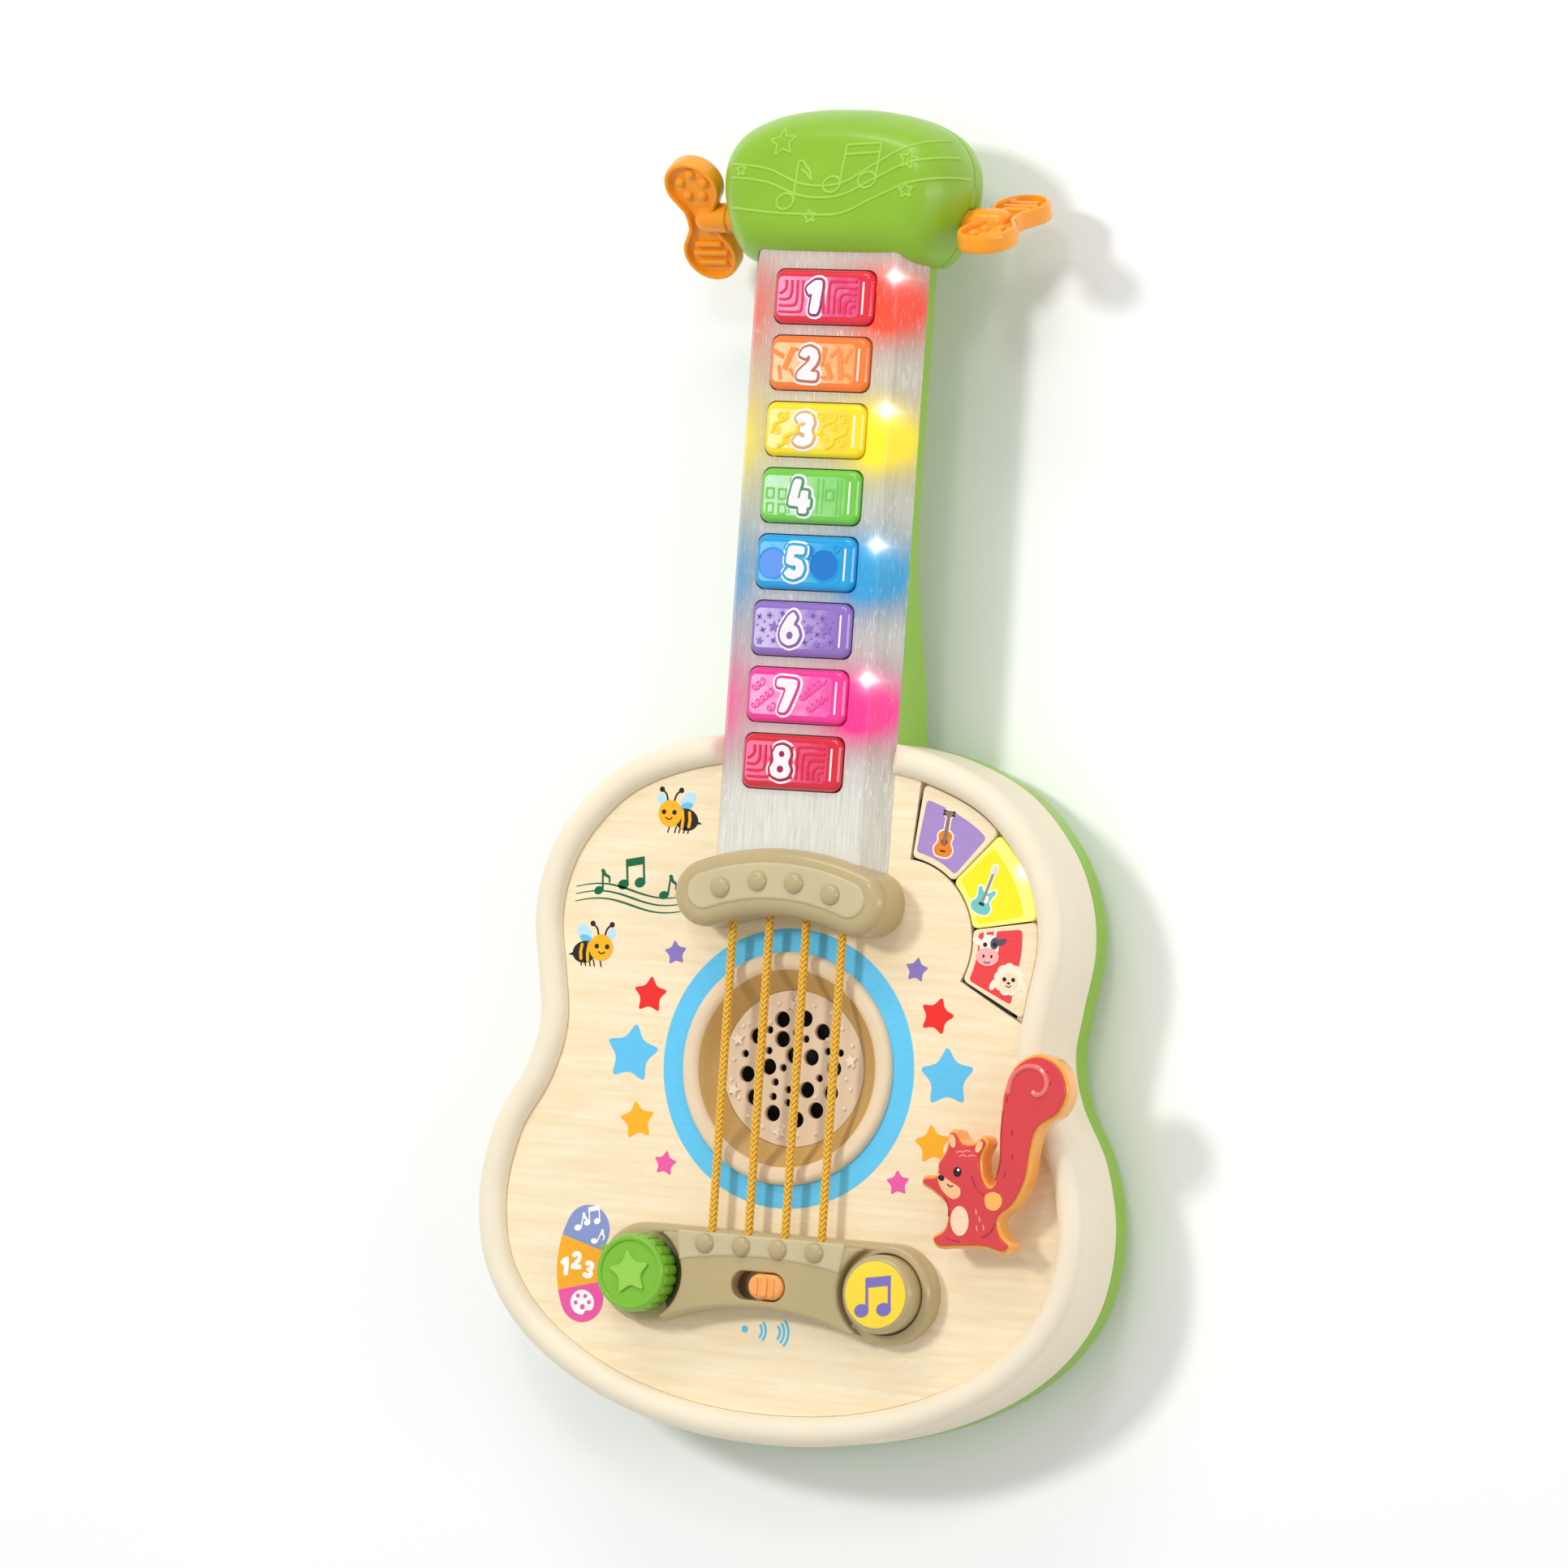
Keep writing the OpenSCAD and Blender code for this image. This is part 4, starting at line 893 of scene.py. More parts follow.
def lower_bridge():
    under = [(x, arch(x)) for x in range(-38, 39, 2)]
    base = (under + arc(SEAT_X, SEAT_Y, 16.9, -100, 90, 48) + arc(-SEAT_X, SEAT_Y, 16.9, 90, 280, 48))
    waist = [(x, arch(x) + 0.1) for x in range(-36, 37, 2)]
    middle_part = (waist + arc(SEAT_X, SEAT_Y, 16, 244, 114, 20)
                   + arc(-SEAT_X, SEAT_Y, 16, 66, -64, 20))
    slot_hole = rounded(0, SEAT_Y - 1, 20, 9.6, 4.7, 10)
    top = ([(x, arch(x) + 17 + 1.6 * (abs(x) / 30) ** 2) for x in range(-30, 31, 3)]
           + [(31.4, -57.6), (30.6, -56.4)] + [(-30.6, -56.4), (-31.4, -57.6)])
    solids = [plate([base, slot_hole, circle(SEAT_X, SEAT_Y, 13.6, 72)], 0, 8, 2.6, 0.6, 7),
              plate([trimmed(middle_part, 3.5), inset(slot_hole, 0.02)], 6, 11.5, 1.6, 0.7, 6)]
    solids += [dome(x, -60.2, 11.9, 3.5, 2.3, 36, 8) for x in STRING_X]
    piece("lower_bridge", solids, "taupe", "taupe_plastic", stands_for=["lower_bridge"],
          minus=[plate(circle(-SEAT_X, SEAT_Y, 3.1, 32), -1, 9)])
    # The plateau in lighter taupe: a painted highlight on the bridge's top.
    piece("lower_bridge_plateau", [crown(top, [(0, 11.2), (0.1, 11.7), (0.5, 12.0), (1.1, 12.15)])],
          "taupe_painted_highlight", "taupe_plastic")


def braided_string(i, x):
    """A plaited cord: columns of slanting strands, each leaning against the next."""
    y0, y1, core, pitch, columns, sides, count = -60.5, 54.5, 1.22, 1.9, 6, 30, 480
    height, rings = [], []
    for k in range(count + 1):
        y = y0 + (y1 - y0) * k / count
        ring = []
        for j in range(sides):
            a = TAU * j / sides
            across = columns * j / sides
            slant = (across % 1.0) * (1 if int(across) % 2 else -1)
            strand = 0.5 + 0.5 * math.cos(TAU * ((y - y0) / pitch + 0.9 * slant))
            rise = math.sqrt(strand) * (0.62 + 0.38 * math.sin(math.pi * (across % 1.0)))
            q = core + 0.36 * rise
            ring.append((x + q * math.sin(a), y, STRING_Z + q * math.cos(a)))
            height.append(rise)
        rings.append(ring)
    name = f"string_{i + 1}"
    obj = piece(name, [loft(rings)], "braid", "string_braid", stands_for=[name], sharp=80)
    # The strands' heights go to the 'strand' attribute, from which the braid material paints shade in the
    # grooves and highlights on the crests.
    strand = obj.data.attributes.new("strand", "FLOAT", "POINT")
    strand.data.foreach_set("value", height)



# ---------- drawings: lists of outlines ----------
def trimmed(points, r, limit=35.0):
    """An outline whose sharp corners are rounded over the distance r."""
    m = len(points)
    corners = []
    for i, p in enumerate(points):
        u = Vector(p) - Vector(points[i - 1])
        v = Vector(points[(i + 1) % m]) - Vector(p)
        if math.degrees(u.angle(v)) > limit:
            corners.append(i)

    def walk(i, step):
        left, here = r, Vector(points[i])
        while True:
            i += step
            there = Vector(points[i % m])
            if (there - here).length > left:
                return here + (there - here).normalized() * left
            left -= (there - here).length
            here = there

    out = []
    for i, p in enumerate(points):
        if i in corners:
            s, e, c = walk(i, -1), walk(i, 1), Vector(p)
            for t in (k / 5 for k in range(6)):
                out.append(tuple(s * (1 - t) ** 2 + 2 * c * t * (1 - t) + e * t * t))
        elif all(math.dist(p, points[j]) > r for j in corners):
            out.append(p)
    return out


def single_note(x, y, s, angle):
    parts = [oval(0, 0, 1.9, 1.45, 20), stroke([(1.6, 0.2), (1.6, 7.2)], 0.75),
             stroke(open_spline([(1.7, 7.0), (2.6, 5.6), (4.2, 4.6), (4.3, 2.8)]), lambda t: 1.5 - 0.9 * t)]
    return [turned(p, angle, x, y, s) for p in parts]


def double_note(x, y, s, angle):
    parts = [oval(-3.1, -3.6, 2.1, 1.7, 15), oval(3.3, -3.2, 2.1, 1.7, 15),
             [(-1.9, -3.6), (-1.1, -3.6), (-1.1, 4.6), (-1.9, 4.6)],
             [(4.5, -3.2), (5.3, -3.2), (5.3, 5.2), (4.5, 5.2)],
             [(-1.9, 2.3), (5.3, 3.0), (5.3, 5.6), (-1.9, 4.9)]]
    return [turned(p, angle, x, y, s) for p in parts]


def new_plastic(name, *values, **more):
    """Adds one more plastic to the materials, under its own name."""
    M[name] = plastic(name, *values, **more)


DIGIT_SHAPES = {
    "1": [[(2.9, 0), (6.3, 0), (7, 11.2), (3.9, 11.2), (0.7, 8.3), (2.2, 6), (3.4, 6.8)]],
    "2": [[(0, 0), (7.4, 0), (7.4, 2.9), (4.6, 2.9), (6.7, 5.5), (7.4, 7.9), (6.3, 10.2), (3.8, 11.2),
           (1.2, 10.3), (0, 7.9), (2.6, 7), (3.5, 8.2), (4.3, 7.6), (3.9, 6.2), (0, 2.3)]],
    "3": [[(0, 1.5), (1.8, 0.2), (4.4, 0), (6.9, 1.2), (7.6, 3.5), (6.4, 5.7), (7.3, 7.8), (6.6, 10.1),
           (4.2, 11.2), (1.6, 10.7), (0.2, 9.2), (1.8, 7.2), (3.3, 8.2), (4.2, 7.7), (3.7, 6.8), (2.3, 6.6),
           (2.3, 4.6), (3.9, 4.5), (4.4, 3.5), (3.6, 2.8), (1.7, 3.7)]],
    "4": [[(4, 0), (7, 0), (7, 2.2), (8, 2.2), (8, 4.9), (7, 4.9), (7, 7.6), (4.2, 7.6), (4, 4.9),
           (3.2, 4.9), (4.3, 11.2), (1.2, 11.2), (0, 4.8), (0, 2.2), (4, 2.2)]],
    "5": [[(0, 1.8), (1.6, 0.4), (4, 0), (6.8, 1.4), (7.6, 4), (6.4, 6.5), (4, 7.3), (3.3, 7.2), (3.4, 8.4),
           (6.9, 8.4), (6.9, 11.2), (0.8, 11.2), (0.3, 5.1), (2.6, 4.5), (4.1, 4.7), (4.6, 3.7), (3.8, 2.8),
           (1.8, 3.9)]],
    "6": [[(3.7, 0), (6.4, 1.1), (7.6, 3.8), (6.4, 6.4), (4.7, 7.1), (5.9, 9.6), (4.3, 11.4), (2.6, 10.1),
           (0.5, 6.2), (0, 3.4), (1.1, 1.1)], oval(3.8, 3.5, 1.15, 1.25)],
    "7": [[(1.4, 0), (4.6, 0), (7.6, 8.6), (7.6, 11.2), (0, 11.2), (0, 8.2), (4, 8.2)]],
    "8": [[(3.7, 0), (6.7, 0.9), (7.7, 3.2), (6.3, 5.8), (7.1, 8.3), (6.1, 10.6), (3.7, 11.4), (1.3, 10.6),
           (0.3, 8.3), (1.1, 5.8), (-0.3, 3.2), (0.7, 0.9)],
          oval(3.7, 3.3, 1.2, 1.15), oval(3.7, 8.3, 1.05, 1)],
}


def digit(number, x, y, s, angle):
    """The outlines of a digit around (x, y): the outside first, then its holes."""
    shapes = DIGIT_SHAPES[number]
    loops = [soften(shapes[0], 0.3, 4)] + shapes[1:]
    return [turned([(px - 3.8, py - 5.6) for px, py in loop], angle, x, y, s) for loop in loops]


def printed(name, outlines, color, z=0.0, body=HOUSING, slot="birch", height=0.05, glow=0.0, drape=None):
    """Flat coloured printing on a surface at height z. Each outline is a loop, or a loop with holes."""
    M[name] = plastic(name, color, 0.35, 0.05, 0.05, glow=glow) if glow else ink(name, color)
    solids = [plate(loops, z - 0.03, z + height + 0.006 * (k % 6)) for k, loops in enumerate(outlines)]
    if drape:
        solids = [moved(solid, drape) for solid in solids]
    return piece(name, solids, name, slot, body)


# ---------- number keys ----------
# for each key: its body, its face from light to deep (lighter towards the left by a painted reflection), and
# the edge of its digit
KEY_COLORS = [
    ((228, 30, 56), (248, 158, 196), (232, 60, 124), (150, 50, 112)),
    ((251, 124, 44), (255, 208, 160), (252, 166, 96), (196, 116, 88)),
    ((255, 222, 20), (255, 244, 160), (255, 214, 48), (214, 172, 112)),
    ((112, 200, 62), (200, 238, 196), (128, 212, 104), (84, 148, 108)),
    ((0, 160, 226), (120, 198, 242), (0, 164, 224), (40, 164, 206)),
    ((142, 108, 190), (208, 194, 236), (150, 114, 196), (140, 92, 176)),
    ((245, 48, 150), (255, 172, 218), (244, 84, 170), (226, 50, 136)),
    ((216, 22, 48), (250, 120, 164), (230, 48, 92), (168, 28, 68)),
]
FACE = (-16.8, 13.6, -6.7, 6.6)   # the clear face of a key: x0, x1, y0, y1


def chip(outline, height=0.3):
    """A small raised shape on the face of a key."""
    return plate(outline, -0.1, height, 0.1)


def maze():
    """Nested elbows on both sides of the digit."""
    lines = [[(11, -5.8), (10.9, -3.4), (12.6, -2.8)], [(0.6, 5.3), (0.7, -5.7)]]
    for step in (0, 2.1, 4.2, 6.3):
        x, y = -7.4 - step, step - 5.3
        lines.append([(-16, y), (x - 1.6, y), (x, y + 1.6), (x, 5.3)])
        x, y = 2.6 + step, 5.2 - step
        lines.append([(12.6, y), (x + 1.6, y), (x, y - 1.6), (x, -5.6)])
    return [tube([(x, y, 0.05) for x, y in open_spline(line, 5)], 0.48, 8) for line in lines]


def sticks():
    places = [(-14.8, 2.8, 62, 1.6, 4.6), (-14, -3.4, 12, 1.2, 4.8), (-10.9, 1.2, -22, 2, 8),
              (-9, -3.8, 40, 1.3, 4.6), (-7.6, 4.2, 78, 1.2, 3.4), (1.9, 2.2, -12, 1.7, 6.6),
              (4.4, -2.6, 24, 2, 6), (6.4, 3.6, -48, 1.3, 4.6), (8.5, -0.6, 6, 1.9, 9.4),
              (11.2, 2.6, -30, 1.4, 5.6), (11.4, -4, 60, 1.3, 3.6), (2.2, -4.8, 84, 1.1, 3.2)]
    return [plate(turned(rounded(0, 0, w, length, 0.2, 2), angle, x, y), -0.1, 0.22 + 0.02 * (k % 3), 0.12)
            for k, (x, y, angle, w, length) in enumerate(places)]


def waves():
    out = []
    for k, shift in enumerate((-22, -13, -4, 5, 14)):
        line = [(shift + 1.15 * t + 0.9 * math.sin(1.5 * t), -6 + t) for t in (0.4 * j for j in range(31))]
        line = [p for p in line if -16 < p[0] < 13 and -6.2 < p[1] < 6]
        if len(line) > 4:
            out.append(tube([(x, y, -0.2) for x, y in line], 0.75 + 0.15 * (k % 2), 8))
    for x, y in [(-13.6, -0.4), (-9.6, -3.6), (7.4, 1.4), (4.4, -2.6), (11, 4), (10.8, -4.2), (2.8, 4.4),
                 (-12, 4)]:
        out += [chip([circle(x, y, 1.6, 20), circle(x, y, 1.1, 20)]), chip(circle(x, y, 0.7, 16), 0.24)]
    return out


def boxes():
    out = [chip([rounded(x, y, w, 3.8, 0.3, 2), rounded(x, y, w - 1.2, 2.6, 0.2, 2)])
           for x, y, w in [(-14.4, 0.6, 3.2), (-9.8, 0.4, 3.4), (7.8, 0.6, 3.4), (-14.2, -4.4, 3),
                           (-9.6, -4.6, 3.4)]]
    return out + [chip(rounded(x, 0, 0.55, 12, 0.2, 2), 0.24) for x in (-7, 3.4, 5.2, 10.6, 12)]


def discs():
    return [plate([circle(x, y, r, 40), circle(x, y, r - 0.5, 40)], -0.1, 0.3, 0.12) for x, y, r in
            [(-11.8, -0.6, 5.4), (7.6, -0.8, 5.6), (1.2, 3.6, 2.6), (12, 5, 1.3), (-6.2, 4.8, 1.5)]]


def confetti():
    rng = random.Random(25)
    out = []
    for x, y, r in [(-9.6, 0.4, 2.2), (3.4, 0.2, 2), (10, 0.2, 2.4), (-14.6, -4.6, 1.5), (7, -4.9, 1.5)]:
        out.append(plate(star(x, y, r, rng.uniform(-15, 15), 0.45, 0.1), -0.1, 0.4, 0.18))
    for x, y in [(-15.2, 3.6), (-11.4, 4.2), (8.4, 4), (4.8, 4.6), (-13.6, -0.8), (6.8, -1.6), (12, -4),
                 (2.4, -4.4), (-9.4, -4.2), (-6.6, 5)]:
        turn = rng.uniform(0, 90)
        out += [chip(oval(x, y, 1.15, 0.36, turn + a, 14)) for a in (0, 90)]
    dots = [(-13.2, 2), (-7.8, 2.6), (1.6, 2.6), (6.6, 2.2), (12.4, 2.8), (-15.8, 0.8), (4.8, -3),
            (9.4, -2.6), (-11.6, -2.8)]
    return out + [dome(x, y, 0.0, 0.45, 0.35, 12, 3) for x, y in dots]


def coils():
    out = []
    for x0, y0, length in [(-15.6, -4.6, 9.4), (-15.8, 1.4, 5.4), (2.2, -1.2, 11), (5.2, -5, 8.4),
                           (-9.6, -5.4, 3)]:
        count = int(length * 9)
        line = []
        for k in range(count + 1):
            s = length * k / count
            turn = TAU * s / 2.1
            line.append((x0 + 0.76 * s + 1.05 * math.cos(turn),
                         y0 + 0.62 * s + 1.05 * math.sin(turn), 0.02))
        out.append(tube([p for p in line if p[0] < 13 and abs(p[1]) < 6.2], 0.3, 7))
    return out


KEY_RELIEFS = [maze, sticks, waves, boxes, discs, confetti, coils, maze]


def number_keys():
    for i, place in enumerate(KEY_PLACES):
        body_color, light, deep, edge = (rgb(*color) for color in KEY_COLORS[i])
        name = f"key_{i + 1}"
        plastic_slot = f"{name}_plastic"
        new_plastic(name, body_color, 0.2, 0.04, 0.04, coat=0.8, soft=0.12)
        new_plastic(name + "_relief", mixed(body_color, deep, 0.35), 0.22, 0.06, 0.05, coat=0.7)
        M[name + "_face"] = key_face(name + "_face", deep, light, FACE[0] - 2, FACE[1])
        new_plastic(name + "_edge", edge, 0.4)
        new_plastic(name + "_digit", rgb(240, 236, 238), 0.38, 0.03)
        low = KEY_TOP - 5.8   # the flange's lower side
        flange = [(-1.1, low), (-1.1, low + 1.2), (0, low + 1.2)]
        rim = crown(rounded(0, 0, 37, 18.2, 3.6, 8), flange + rounded_levels(low + 2, KEY_TOP, 2.2, 8)[1:])

        def add(part, paint, solids, z=KEY_TOP, **more):
            solids = [moved(s, lambda x, y, h: (x, y + place.y, h + z)) for s in solids]
            piece(name + part, solids, paint, plastic_slot, name, **more)
        add("", name, [rim], 0, stands_for=[name])
        x0, x1, y0, y1 = FACE
        ground = rounded((x0 + x1) / 2, (y0 + y1) / 2, x1 - x0, y1 - y0, 1.8, 6)
        # A thin white bar near the face's right edge: a painted highlight on the inner bevel.
        bar = crown(rounded(15.1, -0.2, 0.7, 11, 0.34, 4), [(0, -0.2), (0, 0.1), (0.15, 0.2)])
        add("_face", name + "_face", [plate(ground, -0.2, 0.12, 0.1)])
        add("_relief", name + "_relief", KEY_RELIEFS[i](), KEY_TOP + 0.12)
        add("_glint", name + "_digit", [bar])
        if i == 4:
            blue = rgb(0, 118, 204)
            for side, x, y, r, tint in (("left", -11.6, -0.6, 5.2, rgb(96, 150, 236)),
                                        ("right", 7.4, -0.8, 5.4, blue), ("top", 1.2, 3.4, 2.6, blue)):
                new_plastic(f"key_disc_{side}", tint, 0.24, 0.04, 0.05, coat=0.7)
                add(f"_disc_{side}", f"key_disc_{side}", [plate(circle(x, y, r, 40), -0.1, 0.2, 0.05)])
        loops = digit(str(i + 1), -3.1, -0.2, 1.02, -3)
        for layer, paint, w, z in (("_rim", "_digit", 1.75, 0.5), ("_edge", "_edge", 1.25, 0.7)):
            border = tube([(x, y, 0) for x, y in loops[0]], w, 10, True)
            border = moved(border, lambda x, y, h: (x, y, h * z / w))
            add(layer, name + paint, [border, plate(loops[0], -0.1, z - 0.01)])
        add("_digit", name + "_digit", [plate(loops, -0.1, 0.9, 0.1)])


# ---------- picture keys ----------
RIM_LINE = inset(BODY, RIM + 0.5)


def rim_at(angle):
    """Where a ray from the middle of the fan meets the rim."""
    d = Vector((math.cos(math.radians(angle)), math.sin(math.radians(angle))))
    best = None
    for a, b in zip(RIM_LINE, RIM_LINE[1:] + RIM_LINE[:1]):
        p = Vector(a) - Vector((FAN_X, FAN_Y))
        e = Vector(b) - Vector(a)
        cross = d.x * e.y - d.y * e.x
        if abs(cross) < 1e-9:
            continue
        t = (p.x * e.y - p.y * e.x) / cross
        u = (p.x * d.y - p.y * d.x) / cross
        if t > 0 and 0 <= u <= 1:
            best = t
    return (FAN_X + best * d.x, FAN_Y + best * d.y)


def fan_outline(a, b, inner, outer_in, r):
    """A picture key between two angles: from the radius inner to outer_in short of the rim."""
    steps = [b + (a - b) * k / 24 for k in range(25)]
    fan = Vector((FAN_X, FAN_Y))
    outer = [Vector(rim_at(t)) for t in steps]
    outer = [tuple(p - (p - fan).normalized() * outer_in) for p in outer]
    return trimmed(outer + arc(FAN_X, FAN_Y, inner, a, b, 24), r)


def ukulele_picture(x, y, angle):
    """A small round-bodied guitar: its cut-out edge, body, neck and dark details."""
    body = spline([(0, -6.6), (3.1, -6), (4.2, -3.4), (3, -1), (2.9, 0.6), (3.2, 2.4), (1.9, 4), (0, 4.2),
                   (-1.9, 4), (-3.2, 2.4), (-2.9, 0.6), (-3, -1), (-4.2, -3.4), (-3.1, -6)], 5)
    neck = [(-0.9, -1.5), (0.9, -1.5), (0.75, 10.2), (1.5, 10.6), (1.5, 12.8), (-1.5, 12.8), (-1.5, 10.6),
            (-0.75, 10.2)]
    dark = [circle(0, -0.4, 1.4, 20), rounded(0, -4.2, 2.4, 0.7, 0.2, 2)]
    dark += [circle(side * 2.1, h, 0.6, 12) for side in (-1, 1) for h in (11.1, 12.4)]
    layers = [[inset(body, -0.7), inset(forward(neck), -0.7)], [body], dark[:2], [neck], dark[2:]]
    return [[turned(o, angle, x, y, 0.8) for o in layer] for layer in layers]


def rock_guitar_picture(x, y, angle):
    """A small two-horned guitar: its cut-out edge, body, neck and dark details."""
    body = spline([(0, -6.2), (3.3, -5.4), (4.3, -2.9), (2.9, -0.8), (3.1, 1.2), (4, 3.6), (3, 4.4),
                   (1.2, 2.6), (-1, 2.4), (-2.4, 4), (-3.6, 3.4), (-2.9, 0.9), (-2.9, -0.9), (-4.3, -3),
                   (-3.3, -5.4)], 5)
    neck = [(-0.55, -1), (0.55, -1), (0.5, 10.4), (-0.5, 10.4)]
    head = spline([(0, 10), (0.9, 11), (0.8, 13), (0, 13.8), (-0.8, 13), (-0.9, 11)], 4)
    guard = spline([(0.8, -1.4), (2.1, -1), (2, 0.6), (1.4, 1.6), (0.6, 1.2)], 4)
    dark = [rounded(0, -2.2, 2.2, 1.1, 0.2, 2)]
    edge = [inset(body, -0.7), inset(neck, -0.6), inset(head, -0.6)]
    layers = [edge, [body], [guard], [neck], [head], dark]
    return [[turned(o, angle, x, y, 0.86) for o in layer] for layer in layers]


PURPLE_BLUE = rgb(126, 112, 190)


def picture_keys():
    names = ["ukulele_key", "guitar_key", "animal_key"]
    slots = ["key_purple_print", "key_yellow_print", "key_red_print"]
    colors = [rgb(170, 140, 202), rgb(255, 216, 30), rgb(240, 68, 72)]
    top = (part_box("guitar_key")[1].z - HOLE.z) / MM
    # The lit key's border has painted light: a yellow glow and a white glint.
    M["key_lit"] = lit_border()
    for i, (name, slot, color) in enumerate(zip(names, slots, colors)):
        a, b = FAN_EDGES[i] - 0.35, FAN_EDGES[i + 1] + 0.35   # degrees, less the gap between keys
        outline = fan_outline(a, b, FAN_R, 0.0, 2.2)
        piece(name, [plate(outline, -1.2, top, 0.4)], "key_lit" if i == 1 else "birch", slot, name,
              stands_for=[name])
        # A board under each key; its black is painted shade that shows in the gaps between the keys.
        board = fan_outline(a + 1.6, b - 1.6, FAN_R + 2, 5.0, 1.0)
        piece(name + "_board", [plate(board, -6, -1.15)], "black", slot, name)
        bare, outer_bare = 2.3, 4.4 if i < 2 else 5.4   # wood around the print: degrees, and mm
        inner = fan_outline(a - bare, b + bare, FAN_R + 2.1, outer_bare, 1.6)
        # The lit key's print glows a little: painted light.
        printed(name + "_print", [inner], color, top, name, slot, glow=0.25 if i == 1 else 0)

    def show(name, outlines, color, rise, key):
        printed(name, outlines, color, top + 0.08 + rise, names[key], slots[key])
    orange, brown, dark = rgb(236, 132, 36), rgb(150, 112, 96), rgb(44, 32, 30)
    tones = [rgb(250, 240, 232), orange, dark, brown, dark]
    for k, layer in enumerate(ukulele_picture(52.6, 79.4, -7)):
        show(f"ukulele_picture_{k}", layer, tones[k], 0.05 * k, 0)
    teal, grey = rgb(118, 200, 196), rgb(150, 146, 140)
    tones = [rgb(250, 248, 226), teal, rgb(240, 246, 226), grey, rgb(226, 224, 214), dark]
    for k, layer in enumerate(rock_guitar_picture(68.4, 61.2, -19)):
        show(f"guitar_picture_{k}", layer, tones[k], 0.05 * k, 1)
    x, y = 71.6, 43.6
    show("cow_head", [oval(x, y + 1.6, 3.5, 4.2), oval(x - 4.4, y + 3.4, 1.9, 1.1, -25),
                      stroke([(x - 1.7, y + 5), (x - 1.9, y + 7.2)], 1),
                      stroke([(x + 1.7, y + 5), (x + 2, y + 7.2)], 1)], rgb(250, 240, 230), 0, 2)
    show("cow_patch", [oval(x + 1.9, y + 3, 1.5, 2.0, -10), oval(x + 4.4, y + 3.6, 1.8, 1.0, 25)],
         rgb(82, 86, 98), 0.06, 2)
    show("cow_muzzle", [oval(x - 0.4, y - 1.6, 4.2, 3)], rgb(248, 180, 176), 0.12, 2)
    x2, y2 = 79.6, 34.6
    wool = [circle(x2 + 3.4 * math.cos(t), y2 + 0.4 + 3.4 * math.sin(t), 2.1, 18) for t in
            (TAU * k / 9 + 0.2 for k in range(9))]
    ears = [oval(x2 + 5.6 * s, y2 - 1.6, 1.1, 2, 28 * s) for s in (-1, 1)]
    show("sheep_wool", wool + ears, rgb(252, 238, 214), 0, 2)
    show("sheep_face", [oval(x2, y2 - 0.5, 3.4, 3.2)], rgb(253, 222, 190), 0.06, 2)
    marks = [circle(x - 1.5, y + 2.4, 0.75, 14), circle(x + 2, y + 2.6, 0.75, 14),
             oval(x - 1.8, y - 1.4, 0.4, 0.55), oval(x + 1.1, y - 1.4, 0.4, 0.55),
             stroke(arc(x - 0.4, y - 1.8, 1.8, 235, 305, 8), 0.32),
             circle(x2 - 1.6, y2 + 0.4, 0.7, 14), circle(x2 + 1.6, y2 + 0.4, 0.7, 14),
             oval(x2, y2 - 0.8, 0.6, 0.4), stroke(arc(x2, y2 - 1, 1.1, 215, 325, 8), 0.28)]
    show("animal_marks", marks, rgb(40, 30, 32), 0.18, 2)


def lit_border():
    """Wood-look border of the key that is lit: painted yellow light in its colour and glow, with a painted
    white glint at its outer corner.
    """
    p = Paint("lit_border")
    spot = lamp_light(p, 83, 71, 3.4)
    wide = lamp_light(p, 80, 66, 15)
    grain = wood_flecks(p)
    base = p.mix(p.span(grain, 0.0, 0.3), rgb(255, 246, 130), rgb(250, 228, 90))
    p.set(Base_Color=base, Roughness=p.span(grain, 0.4, 0.55), Normal=p.bump(grain, 0.15, 0.0001))
    p.set(Emission_Color=p.mix(p.math("MINIMUM", spot, 1.0), rgb(255, 240, 90), (1, 1, 1, 1)))
    p.set(Emission_Strength=p.plus(p.times(wide, 0.35), p.times(spot, 1.2)))
    return p.material


# ---------- knob, slider, button ----------
def mode_knob():
    ribs = 22

    def ring(z, ribbed, r):
        out = []
        for k in range(ribs * 12):
            t = TAU * k / (ribs * 12)
            wave = 12.45 + 0.95 * math.sqrt(abs(math.sin(ribs / 2 * t)))
            q = wave * ribbed + r * (1 - ribbed)
            out.append((-SEAT_X + q * math.cos(t), SEAT_Y + q * math.sin(t), z))
        return out
    smooth = [(15.8, 12.7), (16.7, 12.7), (17.3, 12.4), (17.6, 11.9), (17.6, 11.3), (17.35, 10.85),
              (16.8, 10.6), (16.7, 10.2)]
    rings = [ring(8.4, 1, 0), ring(14.7, 1, 0), ring(15.3, 0.6, 12.6)]
    rings += [ring(z, 0, r) for z, r in smooth]
    raised_star = crown(star(-SEAT_X, SEAT_Y, 8.2, 10, 0.5, 0.3),
                        [(0, 16.6), (0, 17.3), (0.1, 17.65), (0.35, 17.8)])
    pointer = crown(turned([(10, -3.4), (16, -0.5), (16, 0.5), (10, 3.4)], 150, -SEAT_X, SEAT_Y),
                    [(0, 9.4), (0, 12.8), (0.5, 13.6)])
    piece("mode_knob", [loft(rings), pointer, rod(-SEAT_X, SEAT_Y, 3, -9, 9)], "knob", "knob_green", "knob",
          stands_for=["mode_knob"])
    piece("mode_knob_star", [raised_star], "knob_light", "knob_green", "knob")


